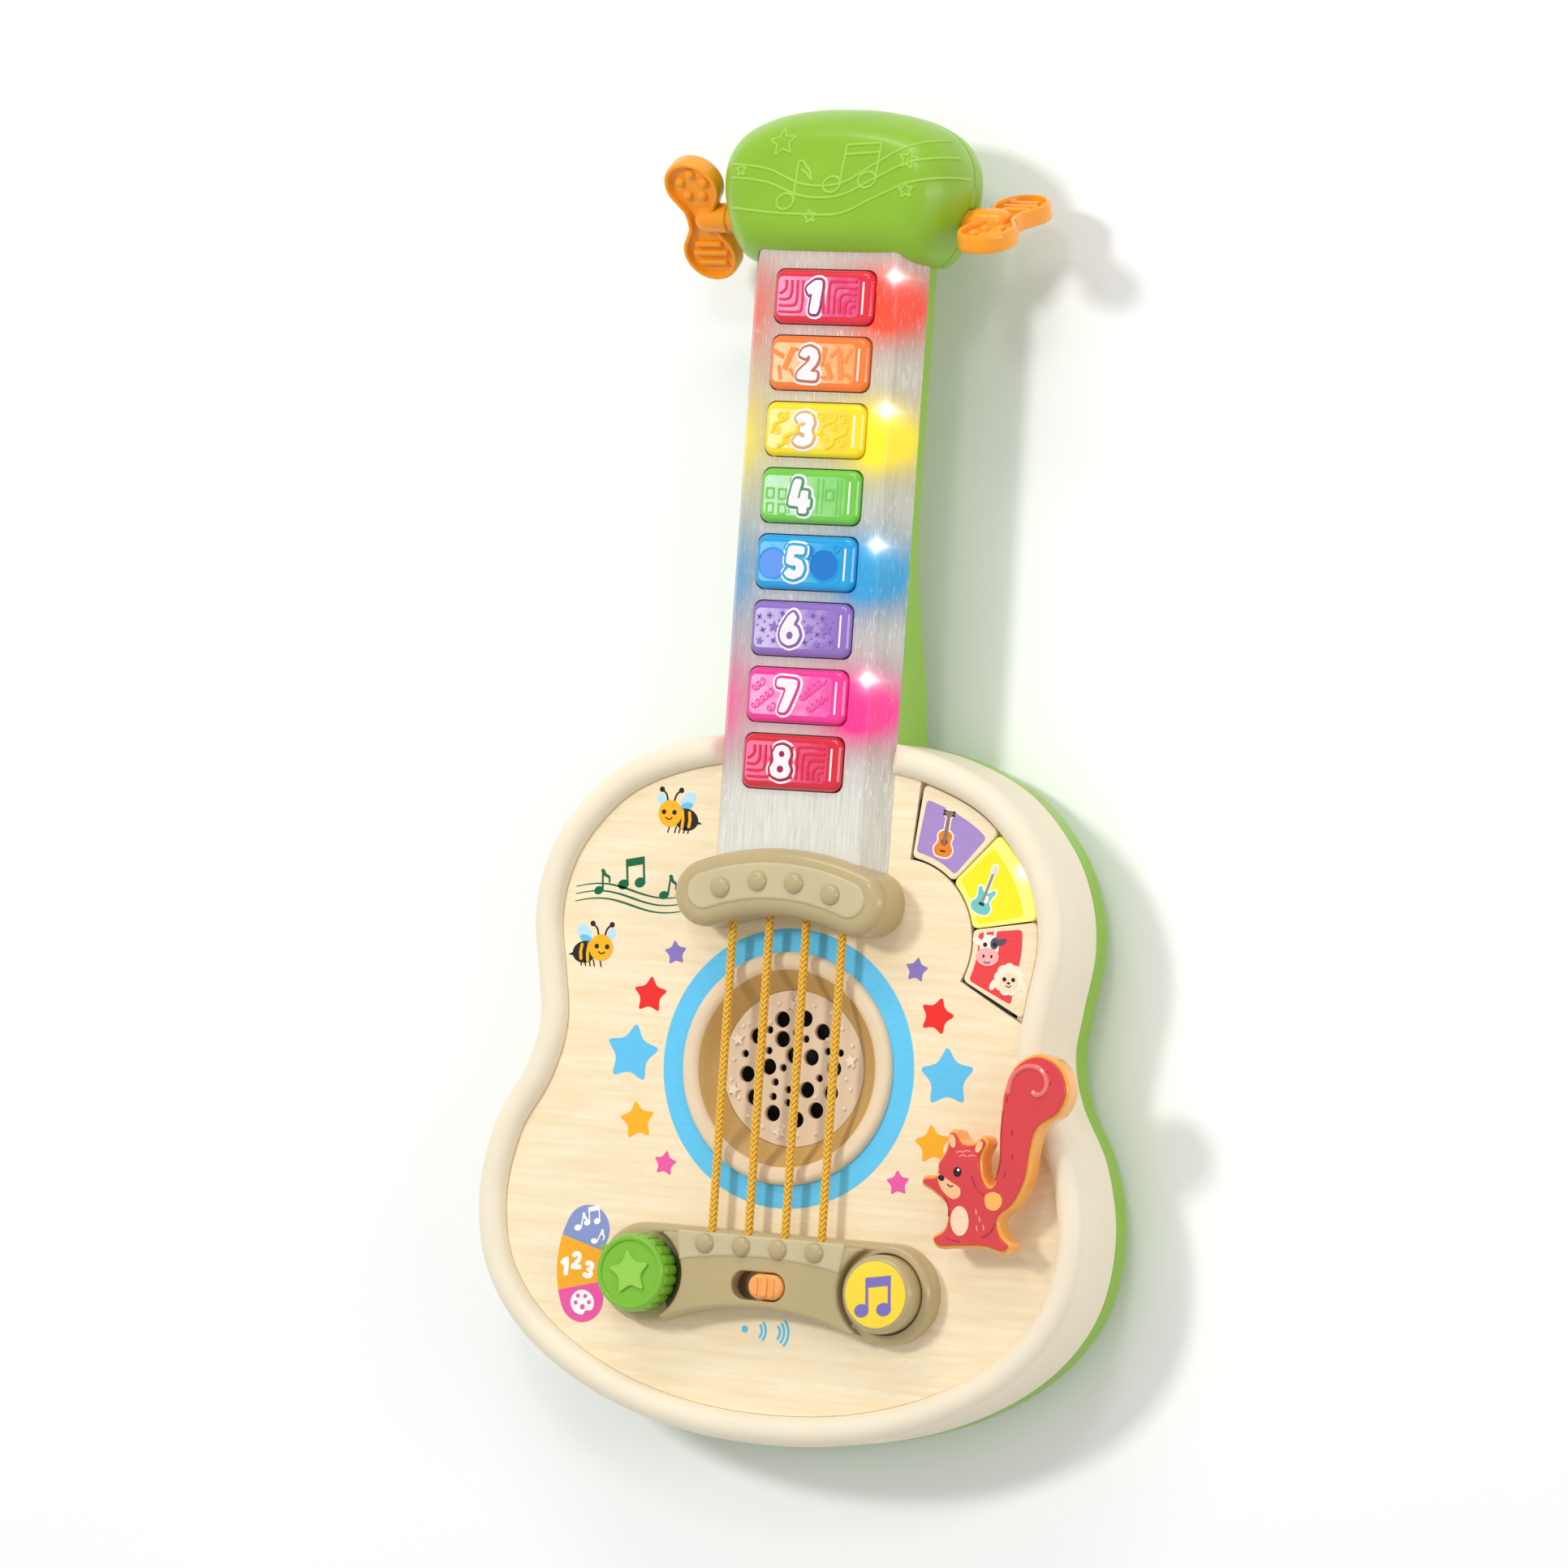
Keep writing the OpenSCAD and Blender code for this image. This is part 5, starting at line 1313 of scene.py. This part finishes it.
def volume_slider():
    x, y = SLIDER.x, SEAT_Y - 1
    thumb = crown(rounded(x, y, 13.2, 8.6, 4.2, 9), rounded_levels(5.6, 12.4, 1.8, 6))
    ridge = crown(rounded(x, y, 2.4, 7.0, 1, 6), rounded_levels(11.6, 13.4, 0.9, 5))
    ribs = [crown(rounded(x + s * 3.1, y, 1.3, 6.2, 0.5, 5), rounded_levels(11.6, 13.0, 0.5, 4))
            for s in (-1, 1)]
    foot = block(x - 5.5, x + 5.5, y - 5.2, y + 5.2, 5, 6.2)
    stem = block(x - 1.4, x + 1.4, y - 0.2, y + 2.2, -9, 5.2)
    piece("volume_slider", [thumb, ridge, foot, stem] + ribs, "slider", "orange_plastic", "slider",
          stands_for=["volume_slider"])


def music_button():
    def disc(levels):
        return loft([hoop(SEAT_X, SEAT_Y, r, z, 96) for r, z in levels])
    def top(r):
        return 15.4 - 0.4 * (r / 11) ** 2
    shell = [(14.2, 3), (14.2, 4.6), (13.2, 4.6), (13.2, 12), (13.05, 12.9), (12.6, 13.7), (12, 14.3),
             (11.3, 14.75), (10.6, 14.85)]
    piece("music_button", [disc(shell), rod(SEAT_X, SEAT_Y, 5, -6.0, 3.1)], "taupe", "taupe_plastic",
          "button", stands_for=["music_button"])
    new_plastic("button_yellow", rgb(250, 218, 60), 0.36, 0.03, 0.06)
    sticker = [(11.1, 14.6), (11.05, 14.98)] + [(r, top(r)) for r in (10.6, 9, 7, 5, 3, 1, 0.1)]
    piece("button_disc", [disc(sticker)], "button_yellow", "taupe_plastic", "button")

    def drape(x, y, z):
        return x, y, z + top(math.hypot(x - SEAT_X, y - SEAT_Y))
    printed("button_note", double_note(SEAT_X - 0.9, SEAT_Y - 0.8, 1.28, 4), PURPLE_BLUE, 0.1, "button",
            "taupe_plastic", drape=drape)


# ---------- lever ----------
LEVER_OUTLINE = [
    (87, -10), (87.6, -1), (91.4, 7.6), (99.5, 11.6), (107.6, 8.4), (111.2, 0), (108.4, -8),
    (101.6, -13), (99.6, -20), (98.4, -30), (94.6, -38.5), (89.4, -43.6), (90.6, -48.4),
    (94.2, -51.6), (91.6, -55), (84, -53.8), (75, -54.4), (67.6, -54.8), (65.2, -51.2),
    (69.4, -47.8), (69.6, -41), (64.6, -36.8), (60.2, -34.4), (60.8, -31.4), (65, -30.6),
    (65.4, -26.6), (68, -22), (68.6, -16.6), (71.6, -15.4), (74.6, -18.8), (78.4, -18.8),
    (81.2, -16.6), (83.6, -19), (81.8, -24), (82.8, -30), (85.6, -32.6), (87.2, -26)]


def lever():
    """A squirrel that sits up, with a tall curled tail: clear orange backing and a red printed front."""
    outline = forward(spline(LEVER_OUTLINE, 7))
    back = crown(outline, [(0.9, 8.0), (0.3, 8.3), (0, 8.9), (0, 14.6), (0.15, 15.3), (0.5, 15.8),
                           (0.9, 16.0)])
    shaft = rod(LEVER.x, LEVER.y, 4, -11, 9)
    piece("lever_back", [back, shaft], "lever_orange", "lever_orange", "lever", stands_for=["lever_back"])
    front = uncrossed(inset(outline, 1.15))
    top = 16.95
    piece("lever_front", [plate(front, 15.9, top, 0.4, steps=4)], "lever_red", "lever_red", "lever",
          stands_for=["lever_front"])

    def bead(line, r):
        return tube([(x, y, top) for x, y in open_spline(line, 6)], r, 8)
    curl = [(99 + (9.6 - 1.02 * k) * math.cos(math.radians(196 - 38 * k)),
             0.4 + (9.6 - 1.02 * k) * math.sin(math.radians(196 - 38 * k))) for k in range(9)]
    groove = [bead(line, 0.26) for line in
              ([(88.4, -8), (88.2, -16), (88.6, -24), (87.4, -31)], [(83.4, -36), (80.6, -34), (78.6, -30)],
               [(84, -50), (86.8, -48), (88.2, -45)], [(70.6, -50.8), (73, -51.6), (76, -52)],
               [(69, -37.6), (71, -40.6), (71.2, -44)])]
    new_plastic("lever_line", rgb(176, 30, 52), 0.25, coat=0.6)
    piece("lever_lines", groove, "lever_line", "lever_red", "lever")
    # The tail's curl is a raised bead; its lighter, pinker red is a painted highlight.
    new_plastic("lever_curl", rgb(238, 116, 110), 0.12, 0.05, 0.04, coat=1.0)
    piece("lever_curl", [bead(curl, 0.9)], "lever_curl", "lever_red", "lever")

    def layer(name, outlines, color, k):
        printed(name, outlines, color, top + 0.05 * k, "lever", "lever_red")
    peach = rgb(250, 190, 140)
    ears = [oval(70.8, -19.2, 1.2, 2.2, 14), oval(80.6, -20.4, 1.1, 2, -24)]
    muzzle = spline([(66.2, -30.4), (69, -31.4), (71.6, -32.8), (74.6, -34.4), (74.8, -37), (72.4, -38.2),
                     (69.4, -36.6), (67.2, -34)], 5)
    paw = spline([(84, -36.4), (86.6, -34.8), (89.6, -35.8), (90.2, -38.6), (88, -40.8), (84.8, -40)], 5)
    layer("lever_peach", ears + [muzzle], peach, 1)
    layer("lever_paw", [paw], rgb(250, 182, 90), 1)
    layer("lever_belly", [oval(75.4, -45.2, 3.3, 4.9, 6)], rgb(250, 214, 176), 1)
    face = [oval(73.4, -29.2, 1.4, 1.6), oval(67.7, -31.6, 1.2, 0.9, -20),
            stroke(arc(71.4, -32.6, 1.5, 215, 300, 8), 0.36)]
    layer("lever_face", face, rgb(36, 20, 24), 4)
    layer("lever_eye_light", [circle(73.8, -28.5, 0.45, 12)], rgb(255, 255, 255), 6)
    tail_marks = [stroke([(x, y), (x + dx, y - 1.6)], 0.36) for x, y, dx in
                  [(90.4, 2, 0.3), (89.6, -3.4, 0.1), (91.8, 6, 0.8), (103.4, 6, -1.2), (104.8, 2.6, -0.8),
                   (92.2, -14, 0), (93, -22, -0.2), (90.6, -28, -0.2)]]
    layer("lever_marks", tail_marks, rgb(176, 30, 60), 1)
    tufts = [stroke(open_spline([(x, y), (x + 1.3, y + 0.5), (x + 2.4, y + 0.2)], 4), 0.32) for x, y in
             [(72.6, -22.8), (73.8, -24), (75.2, -22.4), (77, -23.8)]]
    tufts += [stroke([(x, y), (x + 0.4, y - 1.5)], 0.36) for x, y in
              [(81, -41), (82.4, -43.4), (81.6, -46.4), (84, -46)]]
    layer("lever_tufts", tufts, rgb(252, 170, 150), 1)


# ---------- tuner pegs ----------
def tuner(side, angle):
    """A peg: a shaft, and a paddle of two round lobes with bumps on one and ribs on the other.
    The angle is how far the paddle stands turned at rest."""
    lobes = 13.6   # from the axis to the middle of a lobe
    outline = ([(px, py + lobes) for px, py in arc(0, 0, 10.2, -38, 218, 36)]
               + [(-5.7, 3.4), (-5.4, 0), (-5.7, -3.4)]
               + [(px, py - lobes) for px, py in arc(0, 0, 10.2, 142, 398, 36)]
               + [(5.7, -3.4), (5.4, 0), (5.7, 3.4)])
    half = [(2.3, 1.1), (2.0, 1.25), (1.8, 2.6), (1.5, 3.1), (0.9, 3.2), (0.4, 2.95), (0.05, 2.3), (0, 1.2)]
    levels = [(d, -z) for d, z in half] + [(d, z) for d, z in reversed(half)]
    solids = [crown(outline, levels)]
    for s in (-1, 1):
        bumps = [dome(4.7 * math.cos(t), lobes + 4.7 * math.sin(t), 1.0, 1.9, 1.7, 22, 6)
                 for t in (TAU * k / 5 + 0.3 for k in range(5))]
        ribs = [crown(rounded(0, y - lobes, 13.6 - abs(y) * 0.8, 1.9, 0.9, 5),
                      rounded_levels(1.0, 2.7, 0.8, 5)) for y in (-3.4, 0.4, 4.0)]
        solids += [moved(solid, lambda x, y, z: (x, y, s * z)) for solid in bumps + ribs]
    c, d = math.cos(math.radians(angle)), math.sin(math.radians(angle))
    x0 = side * TUNER_X
    placed = [moved(solid, lambda x, y, z: (x + x0, TUNER.y + y * c - z * d, TUNER.z + y * d + z * c))
              for solid in solids]
    profile = [(34.3, 4.55), (46, 4.55), (46.6, 5.2), (54.6, 5.2), (56.6, 4.8), (58.2, 3.6), (58.9, 1.6)]
    placed.append(across([(side * x, r) for x, r in profile]))
    name = "tuner_left" if side < 0 else "tuner_right"
    piece(name, placed, "orange", "orange_plastic", name + "_peg", stands_for=[name])


TUNER_X = (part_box("tuner_right")[1].x - HOLE.x) / MM - 10.2
new_plastic("lever_orange", rgb(255, 168, 62), 0.16, 0.04, 0.04, coat=0.8, soft=0.3)
new_plastic("lever_red", rgb(216, 56, 62), 0.2, 0.07, 0.06, coat=0.8)


# ---------- printing on the wood ----------
def label_piece(low, high, end):
    """Part of the label around the knob, with a round end at its first or last angle, or none."""
    x, y, r0, r1 = -SEAT_X, SEAT_Y, 20.5, 37.0   # the middle of the knob, and the label's two radii
    r, w = (r0 + r1) / 2, (r1 - r0) / 2
    turn = math.degrees(w / r)
    a = low + turn if end == "first" else low
    b = high - turn if end == "last" else high
    outer, inner = arc(x, y, r1, a, b, 14), arc(x, y, r0, b, a, 14)
    t = a if end == "first" else b
    cx, cy = x + r * math.cos(math.radians(t)), y + r * math.sin(math.radians(t))
    cap = arc(cx, cy, w, t, t + 180, 16)[1:-1] if end == "last" else []
    return outer + cap + inner + (arc(cx, cy, w, t + 180, t + 360, 16)[1:-1] if end == "first" else [])


def bee(name, x, y, side):
    """A small bee that looks to one side, in four layers of colour."""
    tail = [oval(x - side * 6.2, y - 1.8, 4.6, 3.7, side * 14)]
    wings = [oval(x - side * 6.6, y + 4.6, 3.4, 2.3, side * -52),
             oval(x + side * 3.6, y + 4.6, 2.2, 1.5, side * 60)]
    wing_shade = [oval(x - side * 6.0, y + 2.7, 2.4, 1.3, side * -16)]
    printed(name + "_wings", wings, rgb(186, 226, 250))
    printed(name + "_wing_shade", wing_shade, rgb(112, 194, 232), 0.05)
    feelers = [stroke(open_spline([(x + s * 1.2, y + 4), (x + s * 1.9, y + 6.4), (x + s * 3.6, y + 8)], 5),
                      0.6) for s in (-1, 1)]
    legs = [stroke([(x - side * k, y - 4.4), (x - side * (k - 0.5), y - 6.4)], 0.45)
            for k in (0, 2.6, 4.2, 6, 7.6)]
    sting = [[(x - side * 10.2, y - 1.9), (x - side * 12.4, y - 3), (x - side * 10.2, y - 3.3)]]
    tips = [circle(x + s * 3.7, y + 8, 0.95, 14) for s in (-1, 1)]
    black = rgb(38, 28, 24)
    printed(name + "_black", [forward(o) for o in tail + feelers + legs + sting + tips], black, 0.06)
    stripes = [stroke([(x - side * (4.6 + 2.7 * k), y + 1.1 - 0.5 * k), (x - side * (5.0 + 2.7 * k), y - 1.8),
                       (x - side * (4.8 + 2.6 * k), y - 4.6 + 0.5 * k)], 1.1) for k in range(2)]
    printed(name + "_yellow", [circle(x, y, 4.5, 36)] + stripes, rgb(252, 182, 28), 0.12)
    eyes = [circle(x + s * 2.0 + side * 0.4, y + 0.4, 0.85, 16) for s in (-1, 1)]
    smile = [stroke(arc(x + side * 0.4, y - 0.6, 1.4, 215, 325, 8), 0.42)]
    printed(name + "_face", eyes + smile, black, 0.18)


def prints():
    stars = {
        "purple_stars": (rgb(136, 120, 190), [(-45.3, 36, 4.6, 8), (45.3, 36, 4.6, -6)]),
        "red_stars": (rgb(240, 42, 38), [(-53.9, 21.2, 6.9, -2), (53.9, 21.2, 6.9, -14)]),
        "blue_stars": (rgb(98, 196, 240), [(-59.3, 1, 11, -6), (59.3, 1, 11, 4)]),
        "yellow_stars": (rgb(252, 180, 34), [(-55.5, -21.5, 7.2, 10), (55.5, -21.5, 7.2, 8)]),
        "pink_stars": (rgb(240, 94, 168), [(-43.8, -35.2, 4.7, -6), (43.8, -35.2, 4.7, 6)]),
    }
    for name, (color, places) in stars.items():
        printed(name, [star(x, y, r, angle, 0.53, 0.34) for x, y, r, angle in places], color)
    printed("blue_ring", [[circle(0, 0, 47, 144), circle(0, 0, 39.1, 144)]], rgb(100, 200, 242))
    printed("mode_label_notes", [label_piece(138, 164.5, "first")], rgb(136, 152, 206))
    printed("mode_label_digits", [label_piece(164.5, 194, "none")], rgb(252, 176, 36))
    printed("mode_label_palette", [label_piece(194, 219, "last")], rgb(238, 90, 166))
    white = single_note(-75.4, -59.4, 0.72, -8) + double_note(-70.4, -55.0, 0.6, 8)
    white += single_note(-68.8, -63.4, 0.66, -24)
    for text, x, y, angle in (("1", -79.5, -72.8, 4), ("2", -75.0, -70.4, 0), ("3", -70.2, -73.2, -10)):
        white.append(digit(text, x, y, 0.56, angle))
    board = spline([(-73, -80.4), (-69.6, -80.8), (-67.4, -83.4), (-67.8, -86.6), (-70.4, -87.2),
                    (-71.4, -88.6), (-74.4, -88), (-76.2, -85.2), (-75.6, -82.2)], 5)
    wells = [circle(x, y, 0.75, 14) for x, y in
             ((-73.6, -82.4), (-70.8, -82.3), (-69.2, -84.3), (-74.3, -84.8))]
    white.append([board] + wells + [circle(-71.6, -86, 0.95, 14)])
    printed("label_white", white, rgb(255, 253, 248), 0.06)
    marks = [circle(-9.4, -88.3, 1.2, 24)]
    for x, radii in ((-6.2, (3.2, 4.7)), (0.4, (3.4, 5, 6.6))):
        marks += [stroke(arc(x, -88.5, r, -38, 38, 10), 0.85) for r in radii]
    printed("volume_marks", marks, rgb(96, 196, 236))
    bee("bee_upper", -51, 83, -1)
    bee("bee_lower", -74, 36, 1)
    staff = []
    for k in range(3):
        line = [(x, 56 - 2.5 * k + 1.8 * math.sin((x + 86) / 7.2)) for x in range(-85, -41, 2)]
        staff.append(stroke(open_spline(line, 2), lambda t: 0.75 - 0.45 * abs(2 * t - 1)))
    notes = single_note(-76.4, 55.4, 0.95, 4) + double_note(-64.4, 61.8, 1.0, 6)
    notes += single_note(-51.4, 55.2, 0.95, -6)
    printed("staff", staff + notes, rgb(0, 104, 64))


# ---------- stage ----------
def floor():
    """A wide pale floor under the toy."""
    reach = 6.0
    mesh = bpy.data.meshes.new("floor")
    corners = [(-reach, -reach, 0), (reach, -reach, 0), (reach, reach, 0), (-reach, reach, 0)]
    mesh.from_pydata(corners, [], [(0, 1, 2, 3)])
    p = Paint("pale_floor")
    p.set(Base_Color=p.ramp(p.noise(3, 2), rgb(248, 248, 248), rgb(251, 251, 251)), Roughness=0.8)
    mesh.materials.append(p.material)
    obj = bpy.data.objects.new("floor", mesh)
    bpy.context.scene.collection.objects.link(obj)


def soft_box(name, place, target, size, watts):
    """A rectangular lamp that faces the target."""
    data = bpy.data.lights.new(name, "AREA")
    data.shape = "RECTANGLE"
    data.size, data.size_y = size
    data.energy = watts
    obj = bpy.data.objects.new(name, data)
    obj.location = place
    obj.rotation_euler = (target - Vector(place)).to_track_quat("-Z", "Y").to_euler()
    bpy.context.scene.collection.objects.link(obj)
    return obj


def lights():
    toy = at(0, 90)
    key = soft_box("key_light", (-0.85, 0.6, 1.95), toy, (0.3, 0.3), 19)
    key.visible_glossy = False
    soft_box("gloss_box", (0.3, 1.25, 2.0), toy, (0.3, 0.3), 4)
    soft_box("top_strip", (-0.2, 1.9, 1.3), toy, (1.4, 0.3), 10)
    soft_box("side_strip", (1.7, 0.1, 0.9), toy, (0.4, 1.4), 7)
    world = bpy.data.worlds.new("studio")
    world.use_nodes = True
    background = world.node_tree.nodes["Background"]
    background.inputs["Color"].default_value = (1, 1, 1, 1)
    background.inputs["Strength"].default_value = 0.54
    bpy.context.scene.world = world
    bpy.context.scene.view_settings.view_transform = "Standard"


def camera():
    """Looks down at the toy, from the right of its normal, and rolled so that the neck leans right."""
    aim = at(-8.8, 95.2)
    distance = 2.5818
    turn = Euler([math.radians(v) for v in (3.04, 26.69, 4.41)])
    data = bpy.data.cameras.new("camera")
    data.lens = 176.35
    data.sensor_width = 36
    data.clip_end = 20
    obj = bpy.data.objects.new("camera", data)
    obj.rotation_euler = turn
    obj.location = aim + turn.to_matrix() @ Vector((0, 0, distance))
    bpy.context.scene.collection.objects.link(obj)
    bpy.context.scene.camera = obj


# ---------- making ----------
camera()
lights()
floor()
CARRIED_OVER = {
    "black": ["speaker_frame", "board_chips"], "paper": ["speaker_cone"],
    "steel": ["speaker_magnet", "tact_switches", "mode_switch", "volume_switch", "battery_contacts",
              "door_screws", "case_screws", "lever_spring", "lever_screw"],
    "board": ["key_board", "main_board"], "mat": ["key_mat"], "lamp": ["key_leds"],
    "green": ["battery_box", "battery_door"], "wrap": ["battery_cells"], "grey_wire": ["neck_harness"],
    "red_wire": ["speaker_leads"], "black_wire": ["battery_leads"], "cream": ["lever_bushing"],
    "white": ["tuner_left_clip", "tuner_right_clip"],
}


def dress_frame():
    """Gives the CAD nodes that stay their materials."""
    for material, names in CARRIED_OVER.items():
        for name in names:
            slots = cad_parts[name].data.materials
            slots.clear()
            slots.append(M[material])


dress_frame()
head_relief(housing())
panel()
prints()
sound_hole_parts()
upper_bridge()
lower_bridge()
for i, x in enumerate(STRING_X):
    braided_string(i, x)
number_keys()
picture_keys()
mode_knob()
volume_slider()
music_button()
lever()
tuner(-1, 40)
tuner(1, 114)
